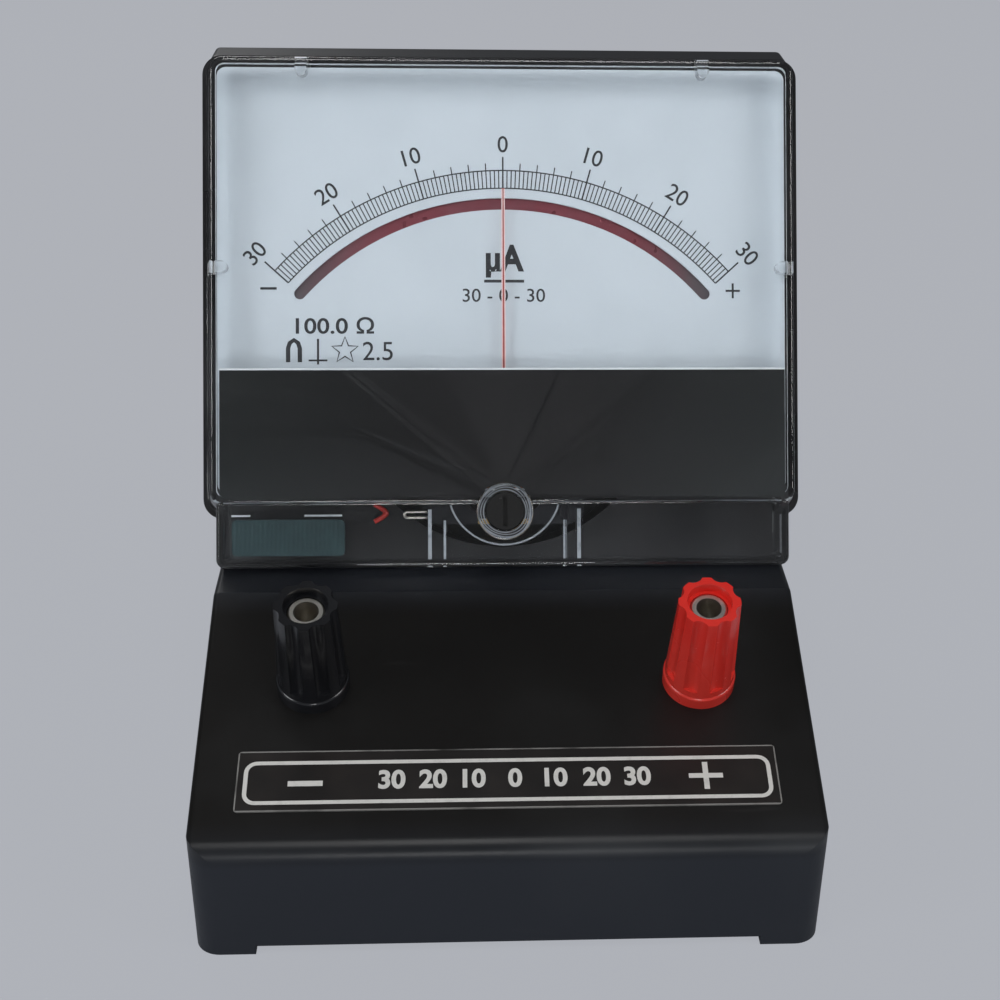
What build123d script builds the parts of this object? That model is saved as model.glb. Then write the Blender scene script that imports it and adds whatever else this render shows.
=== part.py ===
from build123d import *
import os
from math import atan, cos, degrees, hypot, radians, sin, tan

# Desk-stand galvanometer: a moulded black stand with a sloping deck, two binding posts,
# and a clear-fronted moving-coil movement on its leaning panel.
# Millimetres. X is to the right, Y to the back and Z up. The origin is on the table under the middle.

# Stand, side view
skirt_height = 19.7
deck_slope = 20.25
deck_length = 50.5
panel_lean = 26.13
rear_lean = 5.4
panel_top_margin = 0.5
panel_top_flat = 8.5324
panel_top_radius = 1.5
rear_top_radius = 2.0
stand_wall = 2.4
foot_height = 1.6
foot_length = 9.5

# Stand, plan view
stand_inset = 0.4
side_flare = 1.1
corner_radius = 4.0
panel_foot_radius = 0.3
deck_edge_radius = 3.0
ledge_edge_radius = 0.9
side_edge_radius = 1.0
barrel_hole_gap = 0.4
mounting_hole_gap = 0.3
cut_over = 1.0

# Bottom plate and its screws
plate_thickness = 1.8
plate_recess = 0.8
plate_gap = 0.3
boss_radius = 3.4
boss_height = 12.0
boss_inset_x = 5.4
boss_inset_y = 5.6
screw_shank_radius = 1.0
screw_head_radius = 2.5
screw_head_height = 1.3
screw_head_edge = 0.5
screw_hole_gap = 0.3
screw_tip_gap = 4.0
pilot_tip_gap = 2.0
pilot_clearance = 0.06

# Where the front plane of the clear cover stands: its crease line over the chin
crease_y = 49.55
crease_z = 53.58

# Clear cover, in the face frame: u to the right, v up the face, n out of it
window_half_width = 49.3
window_top = 74.6
window_low = -0.6
cover_depth = 11.0
cover_flare = 2.1
cover_wall = 1.2
window_thickness = 1.8
window_corner = 2.2
cover_edge_radius = 0.7
chin_corner = 1.5
chin_overlap = 1.0
chin_inset = 0.8
chin_drop = 11.4
chin_setback = 0.8
catch_width = 2.0
catch_top_u = 34.2
catch_side_v = 39.5
catch_clearance = 0.15
catch_depth = 6.0
catch_bump = 1.7
catch_skin_gap = 0.1

# Clear ribs behind the chin
rib_depth = 4.0
outer_rib_u = 12.2
outer_rib_width = 1.1
inner_rib_u = 9.9
inner_rib_width = 0.6
arc_rib_radius = 10.0
arc_rib_v = 1.9
arc_rib_width = 0.7
arc_rib_setback = 1.5
rib_top_gap = 0.9
rib_seat = 0.2

# Rear body of the meter
flange_lip = 0.6
flange_thickness = 3.0
flange_corner_growth = 1.2
flange_taper = 0.3
flange_chin_lip = 1.1
flange_chin_gap = 0.25
barrel_iron_gap = 0.07
barrel_wall = 1.6
barrel_v = 19.2
barrel_length = 19.0
barrel_floor = 2.0
barrel_edge_radius = 1.5

# Mask, dial and mirror
mask_low = 0.2
mask_top = 22.3
mask_thickness = 0.8
mask_side_gap = 0.2
dial_depth = 7.0
dial_thickness = 0.5
dial_low = 1.2
dial_top = 74.2
dial_side_gap = 0.5
dial_notch_half_width = 13.5
dial_notch_top = 19.0
mirror_radius = 46.9
mirror_width = 2.0
mirror_half_angle = 48.0
mirror_margin = 1.2
mirror_thickness = 0.5
dial_screw_u = 22.0
dial_screw_v = 9.0
dial_post_radius = 2.3
dial_post_inset_u = 3.0
dial_post_inset_v = 2.0
dial_screw_shank = 0.85
dial_screw_head = 1.7
dial_screw_head_height = 1.0
dial_screw_length = 5.0
dial_hole_radius = 1.1
dial_corner = 1.6
mask_chamfer = 0.35
mirror_gap = 0.2
driver_slot_width = 0.4
driver_slot_depth = 0.4

# Movement
pivot_v = 4.0
core_radius = 5.8
pole_bore_radius = 8.0
pole_half_width = 14.0
pole_half_height = 8.5
pole_horn_gap = 4.5
pole_corner_radius = 3.0
magnet_inner_half_width = 6.5
magnet_leg_length = 13.5
iron_front = -10.0
iron_depth = 12.0
core_overhang = 0.5
former_half_width = 6.2
former_wall = 0.3
former_width = 5.0
winding_height = 0.7
coil_end_gap = 0.7
bridge_half_width = 1.9
bridge_thickness = 0.8
bridge_leg_u = 9.4
bridge_leg_width = 1.0
bridge_foot_length = 3.2
front_bridge_n = -4.7
rear_bridge_drop = 5.3
jewel_radius = 0.9
pivot_radius = 0.25
pivot_tip_gap = 0.03
jewel_end_gap = 0.1
jewel_reach = 0.45
jewel_cup_depth = 0.6
jewel_head = 0.8
movement_screw_u = 11.0
movement_screw_offset = 6.1
movement_screw_shank = 0.85
movement_screw_head = 1.5
movement_screw_head_height = 1.1
movement_screw_length = 4.0
movement_hole_radius = 1.0
pillar_radius = 1.9
bridge_screw_place = 1.8
bridge_screw_shank = 0.8
bridge_screw_head = 1.3
bridge_screw_head_height = 0.8
bridge_screw_length = 2.2
bridge_hole_radius = 0.9
bridge_pilot_depth = 2.5
carrier_half_width = 1.5
carrier_plate = 0.8
carrier_tongue_reach = 1.0
carrier_tongue_half = 2.0
carrier_plate_half = 3.0
core_chamfer = 0.4
former_rim = 0.3
winding_edge_radius = 0.4
pivot_base_radius = 1.2
pivot_base_height = 0.4
pivot_shaft_radius = 0.4
pivot_tip_length = 0.6
jewel_slot_width = 0.3
jewel_slot_depth = 0.25
jewel_mask_gap = 0.15

# Needle
needle_n = -5.85
needle_thickness = 0.2
needle_length = 49.4
needle_root_width = 0.8
needle_tip_width = 0.58
needle_start = 1.0
needle_hub_hole = 0.4
needle_hub_radius = 1.6
balance_arm_length = 6.0
balance_tail_length = 7.0
balance_arm_width = 0.6
balance_weight_radius = 0.8
balance_weight_length = 1.3
balance_weight_inset = 0.4

# Hairsprings: flat spirals of half turns
spring_inner_radius = 1.15
spring_pitch = 0.5
spring_half_turns = 11
spring_strip = 0.12
spring_height = 0.4
collet_gap = 0.08
spring_end_gap = 0.06
spring_tab_width = 0.6
spring_tab_thickness = 0.35

# Zero adjuster
zero_v = -2.0
zero_disc_radius = 3.3
zero_disc_height = 1.9
zero_disc_front = 0.55
zero_slot_width = 0.7
zero_slot_depth = 0.8
zero_slot_length = 5.0
zero_shaft_radius = 1.2
zero_flange_radius = 1.9
zero_flange_height = 0.4
zero_pin_radius = 0.45
zero_pin_offset = 1.2
zero_boss_wall = 1.5
running_gap = 0.07
lever_n = -3.9
lever_thickness = 0.35
lever_ring_radius = 2.3
lever_half_width = 1.7
lever_end = 0.9
lever_pin_reach = 0.2
fork_side_gap = 0.22
zero_disc_chamfer = 0.25
zero_boss_step = 0.15
zero_boss_edge = 0.3
zero_boss_sink = 0.2
zero_range = 60.0

# Binding posts
post_side_margin = 17.4
post_distance = 31.15
collar_radius = 5.95
collar_height = 2.5
cap_top_radius = 4.95
cap_bottom_radius = 5.7
cap_height = 17.7
cap_recess_radius = 3.55
cap_recess_depth = 1.6
cap_flutes = 8
cap_flute_radius = 1.7
cap_flute_bite = 0.62
cap_flute_start = 1.2
cap_washer_gap = 0.3
collar_edge_radius = 0.6
collar_gap = 0.05
stud_chamfer = 0.3
post_travel = 3.0
stud_radius = 2.95
socket_radius = 2.0
socket_depth = 15.0
stud_below = 12.0
wire_hole_radius = 0.9
washer_radius = 4.4
washer_thickness = 0.5
deck_hole_radius = 3.7
bush_radius = 5.6
bush_thickness = 1.6
bush_gap = 0.1
tag_thickness = 0.5
tag_length = 9.0
tag_width = 3.2
tag_hole_radius = 0.8
nut_gap = 0.02
post_nut_flats = 8.0
post_nut_height = 2.4

# Meter terminals, mounting studs and leads
meter_stud_u = 12.0
meter_stud_v = 34.0
meter_stud_radius = 2.0
meter_stud_length = 9.0
meter_stud_head = 3.2
meter_stud_head_height = 1.2
meter_stud_gap = 0.1
meter_nut_flats = 7.0
meter_nut_height = 2.2
meter_tag_radius = 3.4
meter_tag_length = 8.4
meter_tag_width = 2.6
mounting_inset = 5.8
mounting_low_v = -5.5
mounting_high_v = 70.0
mounting_radius = 1.5
mounting_length = 7.0
mounting_sink = 2.0
mounting_gap = 0.05
mounting_nut_flats = 5.5
mounting_nut_height = 2.0
lead_radius = 0.8
lead_straight = 10.0
lead_lap = 2.0
lead_first_in = 5.0
lead_first_y = 62.0
lead_first_z = 15.5
lead_second_in = 13.0
lead_second_y = 82.0
lead_second_z = 17.0

# Coil resistor card behind the chin
card_side_gap = 1.9
card_length = 19.2
card_low = -9.6
card_high = -3.4
card_n = -8.4
card_thickness = 1.2
card_corner = 0.8
card_post_radius = 1.2
card_post_inset = 2.5

# Nameplate on the deck
label_side_margin = 6.5
label_corner = 0.6
label_near = 6.9
label_far = 17.9
label_thickness = 0.25

slope = radians(deck_slope)
lean = radians(panel_lean)
back_n = -cover_depth - flange_thickness
stand_half_width = window_half_width - stand_inset
chin_half_width = window_half_width - chin_inset
flange_half_width = window_half_width + cover_flare + flange_lip
flange_chin_half_width = chin_half_width + flange_chin_lip
flange_top = window_top + cover_flare + flange_lip
post_spacing = 2 * (stand_half_width - post_side_margin)
mounting_u = window_half_width - mounting_inset
label_half_width = stand_half_width - label_side_margin
card_left = card_side_gap - chin_half_width
card_right = card_left + card_length
catch_front = -catch_depth

# The panel's top, measured from the stand's front, sets how deep the stand is
panel_top_v = flange_top + panel_top_margin
panel_top_y = crease_y + panel_top_v * sin(lean) - back_n * cos(lean)
panel_top_z = crease_z + panel_top_v * cos(lean) + back_n * sin(lean)
stand_depth = panel_top_y + panel_top_flat + panel_top_z * tan(radians(rear_lean))
front_y = -stand_depth / 2

floor_n = back_n - barrel_length
iron_corner = hypot(pole_half_width, barrel_v - pivot_v + pole_half_height)
barrel_radius = iron_corner + barrel_iron_gap + barrel_wall
iron_back = iron_front - iron_depth
window_back = -window_thickness
mask_back = window_back - mask_thickness
dial_back = -dial_depth - dial_thickness
rear_bridge_n = iron_back - rear_bridge_drop
coil_front = iron_front + coil_end_gap
coil_back = iron_back - coil_end_gap
zero_floor_n = zero_disc_front - zero_disc_height - running_gap
zero_boss_back = mask_back
zero_boss_radius = zero_disc_radius + zero_boss_wall

face = Plane(
    origin=(0, front_y + crease_y, crease_z),
    x_dir=(1, 0, 0),
    z_dir=(0, -cos(lean), sin(lean)),
)


def rod(radius, low, high, at=(0, 0)):
    """A plain cylinder along the local Z axis, from low to high."""
    return Pos(at[0], at[1], low) * extrude(Circle(radius), high - low)


def tube(outer, inner, low, high, at=(0, 0)):
    """A plain ring along the local Z axis."""
    return Pos(at[0], at[1], low) * extrude(Circle(outer) - Circle(inner), high - low)


def block(x0, x1, y0, y1, z0, z1):
    """A box between two corners."""
    return Pos((x0 + x1) / 2, (y0 + y1) / 2, (z0 + z1) / 2) * Box(x1 - x0, y1 - y0, z1 - z0)


def hex_nut(flats, bore, low, high, at=(0, 0)):
    """A hexagonal nut with its corners turned off on both faces."""
    corner = flats / 2 / cos(radians(30))
    bevel = corner - flats / 2
    nut = Pos(0, 0, low) * extrude(RegularPolygon(corner, 6) - Circle(bore), high - low)
    round_off = rod(corner, low, high)
    round_off = chamfer(round_off.edges(), bevel * tan(radians(30)), bevel)
    return Pos(at[0], at[1], 0) * (nut & round_off)


def annular_sector(radius, width, half_angle):
    """A flat band on an arc about the pivot, centred on the +v direction, with round ends."""
    start = 90 - half_angle
    middle = CenterArc((0, 0), radius, start, 2 * half_angle)
    band = (
        Circle(radius + width / 2)
        - Circle(radius - width / 2)
    )
    reach = 2 * radius
    a = radians(half_angle)
    wedge = make_face(
        Polyline(
            (0, 0),
            (reach * sin(a), reach * cos(a)),
            (reach * sin(a) * 0.5, 1.2 * reach),
            (-reach * sin(a) * 0.5, 1.2 * reach),
            (-reach * sin(a), reach * cos(a)),
            close=True,
        )
    )
    ends = [Pos(place.X, place.Y) * Circle(width / 2) for place in (middle @ 0, middle @ 1)]
    return (band & wedge) + ends


def on_face(part):
    """Carries a part from the face frame to its place on the stand."""
    return face.location * part


def at_pivot(part):
    """Carries a part made about the needle's axis to its place in the face frame."""
    return on_face(Pos(0, pivot_v, 0) * part)


def face_point(u, v, n):
    """A point of the face frame, in the stand's frame."""
    return (
        u,
        front_y + crease_y + v * sin(lean) - n * cos(lean),
        crease_z + v * cos(lean) + n * sin(lean),
    )


# Stand

deck_back_y = deck_length * cos(slope)
deck_back_z = skirt_height + deck_length * sin(slope)
panel_foot_v = (deck_back_z - crease_z - back_n * sin(lean)) / cos(lean)
stand_edge = 0.4


def stand_corners():
    """The side outline's corners with their radii, from the front bottom round to the back.

    It runs on past the floor, where stand_form cuts it off.
    """
    foot = face_point(0, panel_foot_v, back_n)
    below = -stand_depth / 4
    return [
        (0, below, stand_edge),
        (0, skirt_height, deck_edge_radius),
        (deck_back_y, deck_back_z, ledge_edge_radius),
        (foot[1] - front_y, foot[2], panel_foot_radius),
        (panel_top_y, panel_top_z, panel_top_radius),
        (panel_top_y + panel_top_flat, panel_top_z, rear_top_radius),
        (stand_depth - below * tan(radians(rear_lean)), below, stand_edge),
    ]


def inset_corners(corners, inset):
    """Moves every side of a closed outline inwards, and shrinks or grows its corner radii to suit."""
    moved = []
    for i, (y, z, radius) in enumerate(corners):
        before, after = corners[i - 1], corners[(i + 1) % len(corners)]
        first = (Vector(y - before[0], z - before[1])).normalized()
        second = (Vector(after[0] - y, after[1] - z)).normalized()
        turn = first.X * second.Y - first.Y * second.X
        half = first + second
        shift = Vector(half.Y, -half.X) * (inset / (1 + first.dot(second)))
        new_radius = radius - inset if turn < 0 else radius + inset
        moved.append((y + shift.X, z + shift.Y, max(new_radius, stand_edge)))
    return moved


def side_prism(inset):
    """The side outline, shrunk by inset, drawn out past both sides of the stand."""
    corners = inset_corners(stand_corners(), inset)
    outline = FilletPolyline(
        *[(y, z) for y, z, radius in corners], radius=[radius for y, z, radius in corners], close=True
    )
    side_plane = Plane(origin=(0, front_y, 0), x_dir=(0, 1, 0), z_dir=(1, 0, 0))
    return extrude(side_plane * make_face(outline), 2 * stand_half_width, both=True)


def column(inset, corner):
    """The outline from above, which widens evenly upwards, with its two front corners rounded."""
    sections = []
    depth = 1.5 * stand_depth - inset
    for height in (0, 2 * stand_depth):
        half_width = stand_half_width - inset + height * tan(radians(side_flare))
        outline = Pos(0, front_y + inset + depth / 2) * Rectangle(2 * half_width, depth)
        if corner:
            outline = fillet(outline.vertices().group_by(Axis.Y)[0], corner)
        sections.append(Pos(0, 0, height) * outline)
    grown = loft(sections)
    if inset:
        grown += extrude(sections[0], -stand_depth / 8)
    return grown


def stand_form(inset):
    """The stand's form shrunk by inset all round, and open at the bottom when inset."""
    return side_prism(inset) & column(inset, max(corner_radius - inset, stand_edge))


def rounded_form():
    """The stand's outer form with its long side edges rounded."""
    form = side_prism(0) & column(0, 0)
    return fillet(side_edges(form), side_edge_radius) & column(0, corner_radius)


def boss_places():
    """Where the bottom plate's four screws stand."""
    x = stand_half_width - boss_inset_x
    y = stand_depth / 2 - boss_inset_y
    return [(-x, -y), (x, -y), (-x, y), (x, y)]


def deck_plane(x):
    """The frame of a binding post: origin on the deck, Z out of it."""
    return Plane(
        origin=(
            x,
            front_y + post_distance * cos(slope),
            skirt_height + post_distance * sin(slope),
        ),
        x_dir=(1, 0, 0),
        z_dir=(0, -sin(slope), cos(slope)),
    )


plate_low = foot_height + plate_recess
plate_high = plate_low + plate_thickness


def side_edges(form):
    """The long edges of the stand's two sides; the rounding runs on round the whole outline."""
    return form.edges().filter_by(
        lambda e: e.length > deck_length / 2
        and e.center().Z > skirt_height
        and abs(e.center().X) > stand_half_width / 2
        and e.center().Y < front_y + 0.75 * stand_depth
    )


def stand_housing():
    """The moulded stand: skirt with four corner feet, sloping deck, ledge, leaning panel and back."""
    shell = rounded_form() - stand_form(stand_wall)
    reach = stand_depth
    across = stand_half_width - foot_length
    along = stand_depth / 2 - foot_length
    shell -= block(-across, across, -reach, reach, -cut_over, foot_height)
    shell -= block(-reach, reach, -along, along, -cut_over, foot_height)
    outer = stand_form(stand_wall / 4)
    for x, y in boss_places():
        boss = rod(boss_radius, plate_high, plate_high + boss_height, (x, y)) & outer
        shell += boss
        pilot = screw_shank_radius + pilot_clearance
        shell -= rod(pilot, plate_high - cut_over, plate_high + boss_height - pilot_tip_gap, (x, y))
    deep, front = back_n - 3 * stand_wall, back_n + cut_over
    shell -= on_face(rod(barrel_radius + barrel_hole_gap, deep, front, (0, barrel_v)))
    for u, v in mounting_places():
        shell -= on_face(rod(mounting_radius + mounting_hole_gap, deep, front, (u, v)))
    for x in (-post_spacing / 2, post_spacing / 2):
        shell -= deck_plane(x).location * rod(deck_hole_radius, -2 * stand_wall, stand_wall)
    return shell


def bottom_plate():
    """The flat plate that closes the stand, seated on the four screw bosses."""
    slab = stand_form(stand_wall + plate_gap) & block(
        -stand_depth, stand_depth, -stand_depth, stand_depth, plate_low, plate_high
    )
    for x, y in boss_places():
        slab -= rod(screw_shank_radius + screw_hole_gap, plate_low - cut_over, plate_high + cut_over, (x, y))
    return slab


def bottom_screws():
    """Four pan-head screws, up through the plate into the bosses."""
    screws = []
    for x, y in boss_places():
        head = rod(screw_head_radius, plate_low - screw_head_height, plate_low, (x, y))
        head = fillet(head.edges().group_by(Axis.Z)[0], screw_head_edge)
        tip = plate_high + boss_height - screw_tip_gap
        screws.append(head + rod(screw_shank_radius, plate_low, tip, (x, y)))
    return Compound(children=screws)


def label_plate():
    """The thin plate on the deck between the posts and the front edge."""
    plane = Plane(
        origin=(0, front_y, skirt_height), x_dir=(1, 0, 0), z_dir=(0, -sin(slope), cos(slope))
    )
    sketch = Pos(0, (label_near + label_far) / 2) * RectangleRounded(
        2 * label_half_width, label_far - label_near, label_corner
    )
    return plane.location * extrude(sketch, label_thickness)


# Meter case

def widening(half_width, low, top, corner, front, back, grow):
    """A rounded rectangle at n = front that grows evenly on every side towards n = back."""
    small = Pos(0, (low + top) / 2, front) * RectangleRounded(2 * half_width, top - low, corner)
    large = Pos(0, (low + top) / 2, back) * RectangleRounded(
        2 * (half_width + grow), top - low + 2 * grow, corner + grow / 2
    )
    return loft([large, small])


def flare_at(n):
    """How far the clear cover's wall has spread at depth n."""
    return cover_flare * -n / cover_depth


def catch_places():
    """The four snap catches: place on the cover's wall and the direction that they face."""
    side = window_half_width
    return [
        (-catch_top_u, window_top, 0),
        (catch_top_u, window_top, 0),
        (-side, catch_side_v, 90),
        (side, catch_side_v, -90),
    ]


def catch_notch(u, v, turn):
    """The cut through the cover's wall that a catch of the rear body fills."""
    width = catch_width + 2 * catch_clearance
    cut = block(
        -width / 2, width / 2, -1.5 * cover_wall, 2 * cover_flare, -cover_depth - cut_over, catch_front
    )
    return Pos(u, v, 0) * Rot(0, 0, turn) * cut


def catch_tab(u, v, turn):
    """A catch that stands on the rear body's flange, in the notch of the cover's wall."""
    spread = flare_at(catch_front - catch_clearance)
    low = spread - cover_wall
    tab = block(
        -catch_width / 2, catch_width / 2, low, spread - catch_skin_gap,
        -cover_depth - flange_thickness / 2, catch_front - catch_clearance,
    )
    return Pos(u, v, 0) * Rot(0, 0, turn) * tab


def catch_nub(u, v, turn):
    """The round clear bump in front of a notch, on the inside of the cover's wall."""
    middle = -cover_wall - catch_bump / 4
    low, high = catch_front + catch_width / 2, window_back + rib_seat
    bump = rod(catch_width / 2, low, high, (0, middle))
    bump += block(-catch_width / 2, catch_width / 2, middle, -cover_wall / 3, low, high)
    return Pos(u, v, 0) * Rot(0, 0, turn) * bump


def chin_ribs():
    """The clear ribs behind the chin: two upright pairs and the arc between them."""
    front = -chin_setback - cover_wall + rib_seat
    back = front - rib_depth
    low, high = -chin_drop + cover_wall - rib_seat, window_low - rib_top_gap
    ribs = Part()
    for side in (-1, 1):
        for u, width in ((outer_rib_u, outer_rib_width), (inner_rib_u, inner_rib_width)):
            a, b = sorted((side * u, side * (u + width)))
            ribs += block(a, b, low, high, back, front)
    arc = tube(arc_rib_radius, arc_rib_radius - arc_rib_width, back + arc_rib_setback, front, (0, arc_rib_v))
    side = inner_rib_u + inner_rib_width / 2
    ribs += arc & block(-side, side, low, high, back, front)
    return ribs


def clear_cover():
    """The clear front: flared window box, set-back chin, ribs, catch bumps and adjuster boss."""
    window = widening(
        window_half_width, window_low, window_top, window_corner, 0, -cover_depth, cover_flare
    )
    window = fillet(window.edges().group_by(Axis.Z)[-1], cover_edge_radius)
    chin_mid = (mask_low + chin_overlap - chin_drop) / 2
    chin_high = mask_low + chin_overlap + chin_drop
    chin = Pos(0, chin_mid, -cover_depth) * extrude(
        RectangleRounded(2 * chin_half_width, chin_high, chin_corner), cover_depth - chin_setback
    )
    chin = fillet(chin.edges().group_by(Axis.Z)[-1], cover_edge_radius)
    shell = window + chin
    hollow = widening(
        window_half_width - cover_wall + flare_at(window_back),
        window_low - cover_wall,
        window_top - cover_wall + flare_at(window_back),
        window_corner - cover_edge_radius,
        window_back,
        -cover_depth - cut_over,
        cover_flare - flare_at(window_back) + flare_at(-cut_over),
    )
    chin_hollow = Pos(0, chin_mid + cover_wall / 2, -cover_depth - cut_over) * extrude(
        RectangleRounded(2 * (chin_half_width - cover_wall), chin_high - cover_wall, chin_corner / 2),
        cover_depth + cut_over - chin_setback - cover_wall,
    )
    reach = 2 * window_top
    shell -= hollow & block(-reach, reach, window_low + cover_wall / 2, reach, -reach, reach)
    shell -= chin_hollow
    shell += chin_ribs()
    for place in catch_places():
        shell -= catch_notch(*place)
        shell += catch_nub(*place)
    at = (0, zero_v)
    boss = rod(zero_boss_radius, zero_boss_back, zero_disc_front + zero_boss_step, at)
    boss = fillet(boss.edges().group_by(Axis.Z)[-1], zero_boss_edge)
    shell -= rod(zero_boss_radius - zero_boss_sink, -rib_depth * 2, zero_boss_back, at)
    shell += boss
    front = zero_disc_front + cut_over
    shell -= rod(zero_disc_radius + running_gap, zero_floor_n, front, at)
    shell -= rod(zero_shaft_radius + running_gap, -rib_depth * 2, front, at)
    return on_face(shell)


def mounting_places():
    """The four mounting studs of the meter."""
    return [(u, v) for u in (-mounting_u, mounting_u) for v in (mounting_low_v, mounting_high_v)]


def pillar_places():
    """The four pillars that carry the pole pieces, beside the bridges' feet."""
    return [
        (side * movement_screw_u, pivot_v + up * movement_screw_offset)
        for side in (-1, 1) for up in (-1, 1)
    ]


def meter_body():
    """The black rear body: flange, barrel with its floor, dial posts, pillars and catches."""
    wide = widening(
        flange_half_width, window_low - cover_flare - flange_lip, flange_top,
        window_corner + flange_corner_growth, -cover_depth, back_n, -flange_taper,
    )
    chin_low = panel_foot_v + flange_chin_gap
    chin = Pos(0, (chin_low + mask_top) / 2, back_n) * extrude(
        RectangleRounded(2 * flange_chin_half_width, mask_top - chin_low, chin_corner * 2 / 3),
        flange_thickness,
    )
    body = wide + chin
    at = (0, barrel_v)
    barrel = rod(barrel_radius, floor_n, back_n + cut_over, at)
    barrel = fillet(barrel.edges().group_by(Axis.Z)[0], barrel_edge_radius)
    seat = floor_n + barrel_floor - cut_over
    body += barrel
    hollow = rod(barrel_radius - barrel_wall, floor_n + barrel_floor, 0, at)
    body -= hollow
    for u, v in ((-dial_screw_u, dial_screw_v), (dial_screw_u, dial_screw_v)):
        body += rod(dial_post_radius, seat, dial_back, (u, v)) & (
            hollow + rod(barrel_radius, back_n, dial_back, at)
        )
    upper_v = mounting_high_v - dial_post_inset_v
    for u in (dial_post_inset_u - mounting_u, mounting_u - dial_post_inset_u):
        body += rod(dial_post_radius, -cover_depth - cut_over, dial_back, (u, upper_v))
    for u, v in pillar_places():
        body += rod(pillar_radius, seat, iron_back, (u, v))
    for place in catch_places():
        body += catch_tab(*place)
    for u, v in pillar_places():
        body -= rod(movement_screw_shank + pilot_clearance, seat + cut_over, iron_back + cut_over, (u, v))
    for u in (-dial_screw_u, dial_screw_u):
        pilot_end = dial_back - dial_screw_length - cut_over
        body -= rod(dial_screw_shank + pilot_clearance, pilot_end, dial_back + cut_over, (u, dial_screw_v))
    for u in (-meter_stud_u, meter_stud_u):
        hole = meter_stud_radius + meter_stud_gap
        body -= rod(hole, floor_n - cut_over, seat + 2 * cut_over, (u, meter_stud_v))
    for u, v in mounting_places():
        body -= rod(mounting_radius + mounting_gap, back_n - cut_over, back_n + mounting_sink, (u, v))
    return on_face(body)


def studs(places, radius, head_radius, low, high, seat):
    """A group of studs along n, each with a flat head on its seat."""
    made = []
    for u, v in places:
        stud = rod(radius, low, high, (u, v))
        if head_radius:
            stud += rod(head_radius, seat, high, (u, v))
        made.append(on_face(stud))
    return Compound(children=made)


def nuts(places, flats, bore, low, high):
    """A group of hexagonal nuts along n."""
    return Compound(children=[on_face(hex_nut(flats, bore, low, high, place)) for place in places])


def meter_terminal_places():
    """The two terminals in the barrel's floor."""
    return [(-meter_stud_u, meter_stud_v), (meter_stud_u, meter_stud_v)]


# Mask, dial and mirror

def mask_plate():
    """The black mask behind the window, cut out round the adjuster's boss."""
    half = window_half_width - cover_wall - mask_side_gap
    mask = Pos(0, (mask_low + mask_top) / 2, mask_back) * extrude(
        Rectangle(2 * half, mask_top - mask_low), mask_thickness
    )
    mask = chamfer(mask.edges().filter_by(Axis.X).group_by(Axis.Y)[-1], mask_chamfer)
    mask -= rod(zero_boss_radius + mask_side_gap, mask_back - cut_over, window_back + cut_over, (0, zero_v))
    return on_face(mask)


def dial_outline():
    """The dial's flat outline with its notch round the movement."""
    half = window_half_width - cover_wall + flare_at(-dial_depth) - dial_side_gap
    sheet = Pos(0, (dial_low + dial_top) / 2) * RectangleRounded(2 * half, dial_top - dial_low, dial_corner)
    notch_low = dial_low - dial_notch_half_width
    notch = Pos(0, (notch_low + dial_notch_top) / 2) * RectangleRounded(
        2 * dial_notch_half_width, dial_notch_top - notch_low, 2 * dial_corner
    )
    return sheet - notch


def dial_plate():
    """The printed dial sheet with the arc slot for the mirror."""
    sheet = dial_outline() - Pos(0, pivot_v) * annular_sector(
        mirror_radius, mirror_width, mirror_half_angle
    )
    for u in (-dial_screw_u, dial_screw_u):
        sheet -= Pos(u, dial_screw_v) * Circle(dial_hole_radius)
    return on_face(Pos(0, 0, dial_back) * extrude(sheet, dial_thickness))


def mirror_strip():
    """The mirror behind the arc slot."""
    band = annular_sector(mirror_radius, mirror_width + 2 * mirror_margin, mirror_half_angle)
    band = band & Rectangle(
        2 * (window_half_width - cover_wall - mirror_gap), 4 * window_top
    )
    return at_pivot(Pos(0, 0, dial_back - mirror_thickness) * extrude(band, mirror_thickness))


def small_screws(places, head_radius, head_height, shank, seat, tip):
    """A group of slotted cheese-head screws that point into the case."""
    made = []
    for u, v in places:
        head = rod(head_radius, seat, seat + head_height, (u, v))
        slot = Box(driver_slot_width, 3 * head_radius, 2 * driver_slot_depth)
        head -= Pos(u, v, seat + head_height) * slot
        made.append(on_face(head + rod(shank, tip, seat, (u, v))))
    return Compound(children=made)


# Movement, made about the needle's axis

def pole_piece(side):
    """A soft-iron pole piece with half of the bore in which the coil turns."""
    reach = pole_half_width - pole_horn_gap
    shape = Pos(side * (pole_horn_gap + reach / 2), 0) * Rectangle(reach, 2 * pole_half_height)
    outer = shape.vertices().filter_by(lambda vertex: abs(vertex.X) > (pole_half_width + pole_horn_gap) / 2)
    lower = outer.filter_by(lambda vertex: vertex.Y < 0)
    shape = fillet(lower, pole_corner_radius)
    shape -= Circle(pole_bore_radius)
    piece = Pos(0, 0, iron_back) * extrude(shape, iron_depth)
    for up in (-1, 1):
        at = (side * movement_screw_u, up * movement_screw_offset)
        piece -= rod(movement_hole_radius, iron_back - cut_over, iron_front + cut_over, at)
    for low, high in (
        (iron_front - bridge_pilot_depth, iron_front + cut_over),
        (iron_back - cut_over, iron_back + bridge_pilot_depth),
    ):
        piece -= rod(bridge_screw_shank + pilot_clearance, low, high, (side * bridge_screw_u, 0))
    return at_pivot(piece)


bridge_screw_u = bridge_leg_u + bridge_leg_width + bridge_screw_place


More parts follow.
